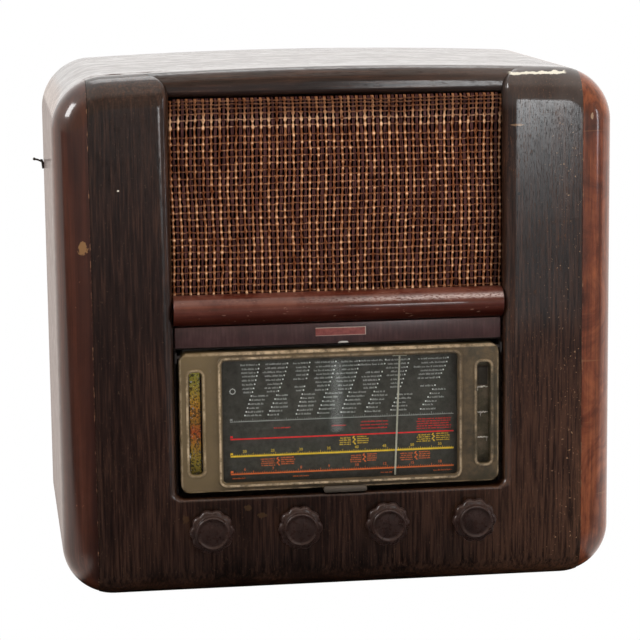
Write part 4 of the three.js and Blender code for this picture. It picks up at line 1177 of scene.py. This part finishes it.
class Print:
    """One colour of print: thin raised bars and numerals on the scale plate."""

    def __init__(self, name, colour):
        self.name, self.colour = name, colour
        self.mesh = bmesh.new()

    def bar(self, x0, x1, z0, z1, slant=0.0):
        front, back = PLATE_Y - 0.12 * MM, PLATE_Y - 0.01 * MM
        corners = [(x0, z0), (x1, z0), (x1 + slant, z1), (x0 + slant, z1)]
        near = [self.mesh.verts.new((x, front, z)) for x, z in corners]
        far = [self.mesh.verts.new((x, back, z)) for x, z in corners]
        self.mesh.faces.new(near)
        self.mesh.faces.new(far[::-1])
        for i in range(4):
            j = (i + 1) % 4
            self.mesh.faces.new((near[j], near[i], far[i], far[j]))

    def words(self, rng, x0, x1, z, height=1.2 * MM):
        """A line of greeked text: small upright strokes of uneven width, with gaps between words."""
        x = x0
        while x < x1 - 0.5 * MM:
            for _ in range(rng.integers(2, 8)):
                wide = rng.uniform(0.3, 0.5) * height
                if x + wide > x1:
                    break
                tall = height * rng.uniform(0.5, 1.0)
                self.bar(x, x + wide, z - height / 2, z - height / 2 + tall)
                x += wide + rng.uniform(0.12, 0.3) * MM
            x += rng.uniform(0.4, 0.9) * MM

    def numeral(self, text, x, z, height):
        curve = bpy.data.curves.new("numeral", "FONT")
        curve.body, curve.size, curve.align_x, curve.resolution_u = text, height * 1.4, "CENTER", 3
        curve.extrude = 0.05 * MM
        obj = bpy.data.objects.new("numeral", curve)
        bpy.context.scene.collection.objects.link(obj)
        graph = bpy.context.evaluated_depsgraph_get()
        mesh = bpy.data.meshes.new_from_object(obj.evaluated_get(graph))
        upright = Matrix.Rotation(math.pi / 2, 4, "X")
        mesh.transform(Matrix.Translation((x, PLATE_Y - 0.07 * MM, z)) @ upright)
        self.mesh.from_mesh(mesh)
        bpy.data.objects.remove(obj)

    def done(self):
        obj = mesh_piece(f"scale_print_{self.name}", [], [])
        self.mesh.to_mesh(obj.data)
        self.mesh.free()
        # The inks glow faintly: painted light that brightens the print behind the glass.
        ink = mottled(f"{self.name} print", self.colour, 0.6, speckle=0.25, scale=260,
                      Emission_Color=(*self.colour, 1), Emission_Strength=0.22)
        give(obj, ink, "dial")


def ruled_line(ink, key, pitch, numerals):
    """A scale line with a short dash over its start, fine ticks above it and evenly spaced numbers."""
    z, thick = SCALE_LINES[key]
    ink.bar(SCALE_START, SCALE_END, z - thick / 2, z + thick / 2)
    ink.bar(SCALE_START, SCALE_START + 2.4 * MM, z + thick / 2 + 0.8 * MM, z + thick / 2 + 2.8 * MM)
    if not pitch:
        return
    count = int((SCALE_END - SCALE_START) / pitch)
    for i in range(count + 1):
        x = SCALE_START + i * pitch
        tall = (2.4 if i % 10 == 0 else 1.7 if i % 5 == 0 else 1.1) * MM
        ink.bar(x - 0.2 * MM, x + 0.2 * MM, z + thick / 2, z + thick / 2 + tall)
    for i, text in enumerate(numerals):
        share = (i + 0.5) / len(numerals)
        ink.numeral(text, SCALE_START + share * (SCALE_END - SCALE_START), z + thick / 2 + 2.6 * MM, 2.8 * MM)


def paragraph(ink, rng, x0, x1, z0, z1, rows):
    for row in range(rows):
        z = z1 - (z1 - z0) * (row + 0.5) / rows
        ink.words(rng, x0 + rng.uniform(0, 2) * MM, x1 - rng.uniform(0, 4) * MM, z)


def branched_list(ink, rng, x0, x1, z0, z1, rows):
    """Names either side of a zigzag of small leaders."""
    spine = (x0 + x1) / 2
    pitch = (z1 - z0) / rows
    for row in range(rows):
        z = z1 - pitch * (row + 0.5)
        sway = (1.2 if row % 2 else -1.2) * MM
        ink.bar(spine + sway - 0.7 * MM, spine + sway + 0.7 * MM, z - 1.0 * MM, z + 1.0 * MM, -sway)
        ink.words(rng, x0 + rng.uniform(0, 2) * MM, spine - 3 * MM, z - 0.4 * MM)
        ink.words(rng, spine + 3 * MM, x1 - rng.uniform(0, 3) * MM, z + 0.5 * MM)


def station_columns(ink, marks, rng):
    """Eight lists of names. Each upper name ends in a dot and each lower one starts with one."""
    columns = ((-95, -79), (-72.5, -51), (-44, -29), (-23, -3), (0, 20.5), (24, 46.5), (50, 70), (79, 109))
    rows, upper_rows, top, pitch, letters = 14, 8, 231 * MM, 3.9 * MM, 1.9 * MM
    for left, right in columns:
        x0, x1 = left * MM, right * MM
        for row in range(rows):
            if rng.random() < 0.03:
                continue
            z = top - row * pitch + rng.normal(0, 0.15 * MM)
            dot = x1 - (x1 - x0) * 0.92 * (row / (rows - 1)) ** 1.2
            marks.bar(dot - 0.6 * MM, dot + 0.7 * MM, z - 0.6 * MM, z + 0.7 * MM)
            if row < upper_rows:
                start = x0 + rng.uniform(-0.2, 0.15) * (dot - x0)
                ink.words(rng, start, dot - 1.0 * MM, z, letters)
            else:
                ink.words(rng, dot + 1.3 * MM, dot + rng.uniform(10, 18) * MM, z, letters)


def plain_ring(ink, x, z, radius):
    """A small dotted ring at the left of the dial."""
    half = 0.45 * MM
    for px, pz in circle(x, z, radius, 12):
        ink.bar(px - half, px + half, pz - half, pz + half)


def make_print():
    """All the print on the scale plate. Places in the tables are in millimetres."""
    rng = np.random.default_rng(23)
    grey = Print("grey", (0.34, 0.34, 0.33))
    white = Print("white", (0.85, 0.85, 0.82))
    red = Print("red", (0.85, 0.020, 0.022))
    yellow = Print("yellow", (0.90, 0.56, 0.035))
    orange = Print("orange", (0.85, 0.17, 0.035))
    station_columns(grey, white, rng)
    plain_ring(white, -105.6 * MM, 205 * MM, 2.6 * MM)
    ruled_line(grey, "white", TICK_PITCH, ())
    ruled_line(red, "red", 0, ())
    ruled_line(yellow, "yellow", TICK_PITCH, ("20", "25", "30", "35", "40", "45", "50", "55"))
    ruled_line(orange, "orange", TICK_PITCH, ("6", "7", "8", "9", "10", "12", "15", "18"))
    for x0, x1, z0, z1, rows in ((-66, -47, 165, 169, 1), (-8, 8, 165, 169, 1), (20.5, 49, 161.5, 171.5, 3),
                                 (77, 113.5, 159.5, 171.5, 5)):
        paragraph(red, rng, x0 * MM, x1 * MM, z0 * MM, z1 * MM, rows)
    for x0, x1 in ((-1, 30), (77, 111)):
        branched_list(yellow, rng, x0 * MM, x1 * MM, 147 * MM, 155.5 * MM, 4)
    for x0, x1 in ((-79, -44), (10, 39), (60, 93)):
        branched_list(orange, rng, x0 * MM, x1 * MM, 129 * MM, 137.5 * MM, 4)
    for x0, x1 in ((-107, -94), (-47, -31), (41, 53), (94, 113)):
        orange.words(rng, x0 * MM, x1 * MM, 117.6 * MM)
    for ink in (grey, white, red, yellow, orange):
        ink.done()


def make_band_dividers():
    """Three worn bars that split the right window into four cells, each running down into a fading tail."""
    lo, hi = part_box("band_lens")
    rng = np.random.default_rng(3)
    low, high = dial_windows()[2][0][2:]
    front = lo.y - 0.25 * MM
    left, right = lo.x + 2.4 * MM, hi.x - 3.2 * MM
    tails = {1: right - 1.5 * MM, 2: left + 3.6 * MM, 3: left + 0.8 * MM}
    steps, tail_steps = 16, 10
    pieces = []
    for i, tail in tails.items():
        z = low + (high - low) * i / 4
        xs = np.linspace(left, right, steps)
        wide = rng.uniform(0.5, 1.15, steps) * MM * np.sin(np.linspace(0.35, 2.9, steps))
        path = np.stack([xs, np.full(steps, front), z + rng.normal(0, 0.25 * MM, steps)], axis=1)
        pieces.append(thread(path, wide, np.full(steps, 0.22 * MM), (0, 0, 1), 6))
        zs = np.linspace(z, z - 4.5 * MM, tail_steps)
        sway = rng.normal(0, 0.15 * MM, tail_steps)
        path = np.stack([tail + sway, np.full(tail_steps, front), zs], axis=1)
        wide = np.linspace(0.55, 0.1, tail_steps) * MM
        pieces.append(thread(path, wide, np.full(tail_steps, 0.2 * MM), (1, 0, 0), 6))
    give(threads_piece("band_window_dividers", pieces),
         mottled("worn cream paint", (0.56, 0.50, 0.43), 0.7, speckle=0.6, scale=500), "dial")


# ---------------------------------------------------------------- assembly
def give(obj, material, body):
    """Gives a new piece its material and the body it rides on."""
    obj.data.materials.clear()
    obj.data.materials.append(material)
    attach(obj, body)


def paint(material, *names):
    """Gives CAD nodes a material."""
    for name in names:
        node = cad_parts[name]
        node.data.materials.clear()
        node.data.materials.append(material)


def make_cabinet():
    upright, wrapped, sideways = "Z", "XZ", "X"  # the way the grain runs
    dark = dark_veneer("dark veneer", upright)
    posts = walnut_veneer("walnut post veneer", upright, 1.0)
    give(make_case(), walnut_veneer("walnut wrap veneer", wrapped, 0.0), "cabinet")
    give(make_front_frame(), dark, "cabinet")
    give(make_post("corner_post_left", -1), posts, "cabinet")
    give(make_post("corner_post_right", 1), posts, "cabinet")
    give(make_top_rail(), dark_veneer("dark rail veneer", sideways, 0.12), "cabinet")
    give(make_moulding(), moulding_lacquer(), "cabinet")
    felt = mottled("black felt", (0.004, 0.0035, 0.003), 0.95, Specular_IOR_Level=0.0)
    give(eased_copy("badge_strip", 0.8 * MM), strip_lacquer(), "cabinet")
    give(eased_copy("blank_badge", 0.3 * MM), badge_enamel(), "cabinet")
    for side in (-1, 1):
        give(make_dust_felt(side), felt, "cabinet")
    brass = mottled("dark brass", (0.035, 0.028, 0.022), 0.45, 0.5)
    give(make_aerial_end(), brass, "cabinet")
    paint(mottled("hardboard", (0.13, 0.070, 0.035), 0.75, speckle=0.3, scale=160, relief=0.3), "back_cover")
    paint(mottled("stained plywood", (0.016, 0.010, 0.007), 0.8, speckle=0.3, scale=60), "baffle_board")


def make_dial():
    give(make_dial_housing(), dial_bakelite(), "dial")
    paint(clear_glass("dial glass", 0.025), "dial_glass")
    # The plate's grey is partly its own dark tone and partly painted haze, standing in for the glass's
    # reflection over it.
    paint(mottled("scale plate", (0.074, 0.070, 0.063), 0.7, speckle=0.35, scale=140), "scale_plate")
    paint(clear_glass("window glass", 0.04), "band_lens")
    give(make_pebbled_lens(), clear_glass("pebbled glass", 0.05, lens_glints), "dial")
    paint(tone_strip_paint(), "tone_indicator")
    give(make_cell_card(), band_cell_paint(), "dial")
    paint(mottled("band flag paint", (0.050, 0.040, 0.028), 0.7), "band_indicator")
    give(eased_copy("pull_tab", 2.2 * MM), mottled("pull tab bakelite", (0.075, 0.060, 0.045), 0.4), "dial")
    paint(mottled("pointer paint", (0.62, 0.57, 0.48), 0.5), "pointer")
    make_print()
    make_band_dividers()


def make_works():
    """The parts behind the front, seen only through the back and when the dial tilts."""
    shafts = [f"{knob}_shaft" for knob in KNOBS]
    screws = [f"cover_screw_{number}" for number in range(1, 5)]
    feet = [f"foot_{end}_{side}" for end in ("front", "back") for side in ("left", "right")]
    valves = [f"valve_{stage}" for stage in ("rectifier", "output", "converter", "if", "detector")]
    paint(mottled("plated steel", (0.38, 0.36, 0.32), 0.45, 1.0, speckle=0.3, scale=25),
          "chassis", "gang_bracket", "gang_frame", "output_transformer", "mains_transformer")
    paint(mottled("aluminium", (0.62, 0.62, 0.62), 0.4, 1.0), "if_can_first", "if_can_second", "gang_rotor")
    paint(mottled("dark steel", (0.10, 0.10, 0.10), 0.5, 0.9), "speaker_basket", "speaker_magnet",
          "cord_drum", "tone_control", "volume_control", "band_switch")
    paint(mottled("blackened steel", (0.018, 0.016, 0.015), 0.5), "dial_pivot_left", "dial_pivot_right")
    paint(mottled("bright steel", (0.52, 0.52, 0.50), 0.35, 1.0), *shafts, *screws)
    paint(mottled("paper cone", (0.045, 0.040, 0.034), 0.85), "speaker_cone")
    paint(mottled("valve glass", (0.10, 0.10, 0.10), 0.12, 0.6), *valves)
    paint(mottled("rubber", (0.012, 0.011, 0.010), 0.7), *feet, "mains_lead", "aerial_lead")


make_cabinet()
make_cloth()
make_dial()
knob_material = knob_bakelite()
for knob in KNOBS:
    give(make_knob(knob), knob_material, knob)
make_works()


# ---------------------------------------------------------------- stage, light and camera
# what the polish mirrors from the floor, by distance in front of the radio
FLOOR_GLOW = ((0.27, (0.0, 0.0, 0.0)), (0.29, (0.050, 0.020, 0.015)), (0.90, (0.115, 0.050, 0.044)),
              (1.5, (0.145, 0.085, 0.080)), (2.0, (0.19, 0.13, 0.122)), (2.8, (0.28, 0.20, 0.19)),
              (4.0, (0.34, 0.265, 0.25)), (5.5, (0.47, 0.41, 0.39)))
FLOOR_REACH = 6.0
LENS = 139.55
CAMERA_PLACE = (-0.3446, -2.5058, 0.6849)
CAMERA_YAW, CAMERA_PITCH, CAMERA_ROLL = 7.831, 9.756, -0.644  # degrees


def upright_card(x0, x1, y, low, high):
    """Corners of a card that faces the radio."""
    return [(x0, y, low), (x1, y, low), (x1, y, high), (x0, y, high)]


def glossy_card(name, corners, strength, colour=(1, 1, 1)):
    """A glowing card that only polished surfaces see. strength(shader) builds its brightness."""
    card = mesh_piece(name, corners, [(0, 1, 2, 3)])
    s = Shader(name)
    emission = s.node("ShaderNodeEmission", Color=colour)
    s.put(emission.inputs["Strength"], strength(s))
    card.data.materials.append(s.instead(emission))
    card.visible_camera = card.visible_diffuse = card.visible_shadow = card.visible_transmission = False


def make_cards():
    """The room's bright shapes, as the lacquer, the bakelite and the dial glass mirror them."""
    left, right, y, low, high = 0.14, 0.54, -1.32, 0.06, 0.45

    def pillar(s):
        z = s.math("DIVIDE", s.math("SUBTRACT", s.axis("Z"), low), high - low)
        glow = s.ramp(z, (0.0, 0.05), (0.36, 0.07), (0.54, 0.15), (0.65, 0.25), (0.77, 0.46), (0.90, 0.85),
                      (1.0, 1.0))
        return s.both(glow, s.rise(s.axis("X"), left, 0.34), 10.5)

    glossy_card("pillar_card", upright_card(left, right, y, low, high), pillar, (0.95, 0.98, 1.0))

    turn, reach, half, foot, head = math.radians(63), 1.5, 0.08, 0.18, 0.72
    middle = Vector((0.26 + reach * math.sin(turn), -0.14 - reach * math.cos(turn), 0))
    across = Vector((math.cos(turn), math.sin(turn), 0)) * half
    ends = ((-1, foot), (1, foot), (1, head), (-1, head))
    corners = [middle + side * across + Vector((0, 0, z)) for side, z in ends]
    glossy_card("right_card", corners, lambda s: s.rise(s.axis("Z"), foot, 0.40, 0.0, 7.0), (0.92, 0.92, 1.0))

    centre, half = 0.065, 0.020
    glossy_card("glass_card", upright_card(centre - half, centre + half, -0.61, 0.058, 0.142),
                lambda s: s.both(s.near(s.axis("X"), centre, 0.012), 2.0))


def make_floor():
    """A pale floor that runs into the white background, mirrored much darker in front of the radio."""
    size = 30.0
    corners = [(-size, -size, 0), (size, -size, 0), (size, size, 0), (-size, size, 0)]
    floor = mesh_piece("floor", corners, [(0, 1, 2, 3)])
    s = Shader("floor")
    path = s.node("ShaderNodeLightPath")
    white = s.node("ShaderNodeEmission", Color=(1.0, 1.0, 1.0))
    faded = s.node("ShaderNodeMixShader")
    s.put(faded.inputs[0], path.outputs["Is Camera Ray"])
    s.done(Base_Color=(0.93, 0.93, 0.93), Roughness=0.9, Specular_IOR_Level=0.0)
    s.tree.links.new(s.surface.outputs[0], faded.inputs[1])
    s.tree.links.new(white.outputs[0], faded.inputs[2])
    ahead = s.math("MULTIPLY", s.axis("Y"), -1.0)
    stops = [(distance / FLOOR_REACH, glow) for distance, glow in FLOOR_GLOW]
    dim = s.ramp(s.math("DIVIDE", ahead, FLOOR_REACH), *stops)
    dim = s.mix(s.rise(s.axis("X"), 0.3, 1.2), dim, (0.16, 0.14, 0.13), "ADD")
    aside = s.rise(s.math("ABSOLUTE", s.axis("X")), HALF - 0.01, HALF + 0.01)
    beside = s.both(aside, s.rise(s.axis("Y"), -0.34, -0.15))
    mirrored = s.node("ShaderNodeEmission", Color=s.mix(beside, dim, (0.9, 0.80, 0.74)))
    join = s.node("ShaderNodeMixShader")
    s.put(join.inputs[0], path.outputs["Is Glossy Ray"])
    s.tree.links.new(faded.outputs[0], join.inputs[1])
    s.tree.links.new(mirrored.outputs[0], join.inputs[2])
    s.tree.links.new(join.outputs[0], s.output)
    floor.data.materials.append(s.material)


def make_world():
    """White to the camera. As a light and in reflections it is bright behind the radio and dim in front."""
    world = bpy.data.worlds.new("studio")
    world.use_nodes = True
    bpy.context.scene.world = world
    tree = world.node_tree
    s = Nodes(tree, tree.nodes.new("ShaderNodeTexCoord").outputs["Generated"])
    path = s.node("ShaderNodeLightPath")
    lit = s.rise(s.axis("Y"), -0.3, 0.6, 0.16, 1.4)
    behind = s.rise(s.math("SUBTRACT", s.axis("Y"), s.math("MULTIPLY", s.axis("X"), 0.18)), -0.20, 0.42)
    pale = s.mix(s.rise(s.math("ABSOLUTE", s.axis("X")), 0.5, 0.9), (1.02, 1.0, 0.98), (0.98, 0.85, 0.78))
    overhead = s.rise(s.axis("Z"), 0.52, 0.86)
    mirrored = s.mix(behind, s.mix(overhead, (0.55, 0.395, 0.310), (1.30, 1.10, 0.97)), pale)
    colour = s.mix(path.outputs["Is Glossy Ray"], lit, mirrored)
    s.put(tree.nodes["Background"].inputs["Color"], s.mix(path.outputs["Is Camera Ray"], colour, (1, 1, 1)))


def add_lamp(name, azimuth, elevation, distance, size, power, target=(0, -0.1, 0.3), mirrored=True):
    """A softbox at an azimuth to the right of straight ahead, aimed at target."""
    lamp = bpy.data.lights.new(name, "AREA")
    lamp.shape = "RECTANGLE"
    lamp.size, lamp.size_y = size
    lamp.energy = power
    obj = bpy.data.objects.new(name, lamp)
    turn, lift = math.radians(azimuth), math.radians(elevation)
    away = Vector((math.sin(turn) * math.cos(lift), -math.cos(turn) * math.cos(lift), math.sin(lift)))
    obj.location = Vector(target) + distance * away
    obj.rotation_euler = away.to_track_quat("Z", "Y").to_euler()
    obj.visible_glossy = mirrored
    bpy.context.scene.collection.objects.link(obj)


def make_camera():
    """The camera, slightly to the left of the radio and above it."""
    camera = bpy.data.cameras.new("camera")
    camera.sensor_width = 36
    camera.lens = LENS
    camera.clip_end = 100
    obj = bpy.data.objects.new("camera", camera)
    yaw, pitch, roll = (math.radians(angle) for angle in (CAMERA_YAW, CAMERA_PITCH, CAMERA_ROLL))
    level = Matrix.Rotation(-yaw, 4, "Z") @ Matrix.Rotation(math.pi / 2 - pitch, 4, "X")
    obj.matrix_world = Matrix.Translation(CAMERA_PLACE) @ level @ Matrix.Rotation(roll, 4, "Z")
    bpy.context.scene.collection.objects.link(obj)
    bpy.context.scene.camera = obj


make_floor()
make_world()
make_camera()
make_cards()
add_lamp("softbox_left", -76, 31, 2.0, (0.50, 0.62), 14)
add_lamp("overhead", 64, 52, 2.2, (1.1, 0.5), 34, target=(0.05, -0.1, 0.3), mirrored=False)
add_lamp("back_fill", 180, 60, 2.5, (1.5, 1.0), 12)

scene = bpy.context.scene
scene.view_settings.view_transform = "Standard"
scene.view_settings.look = "None"
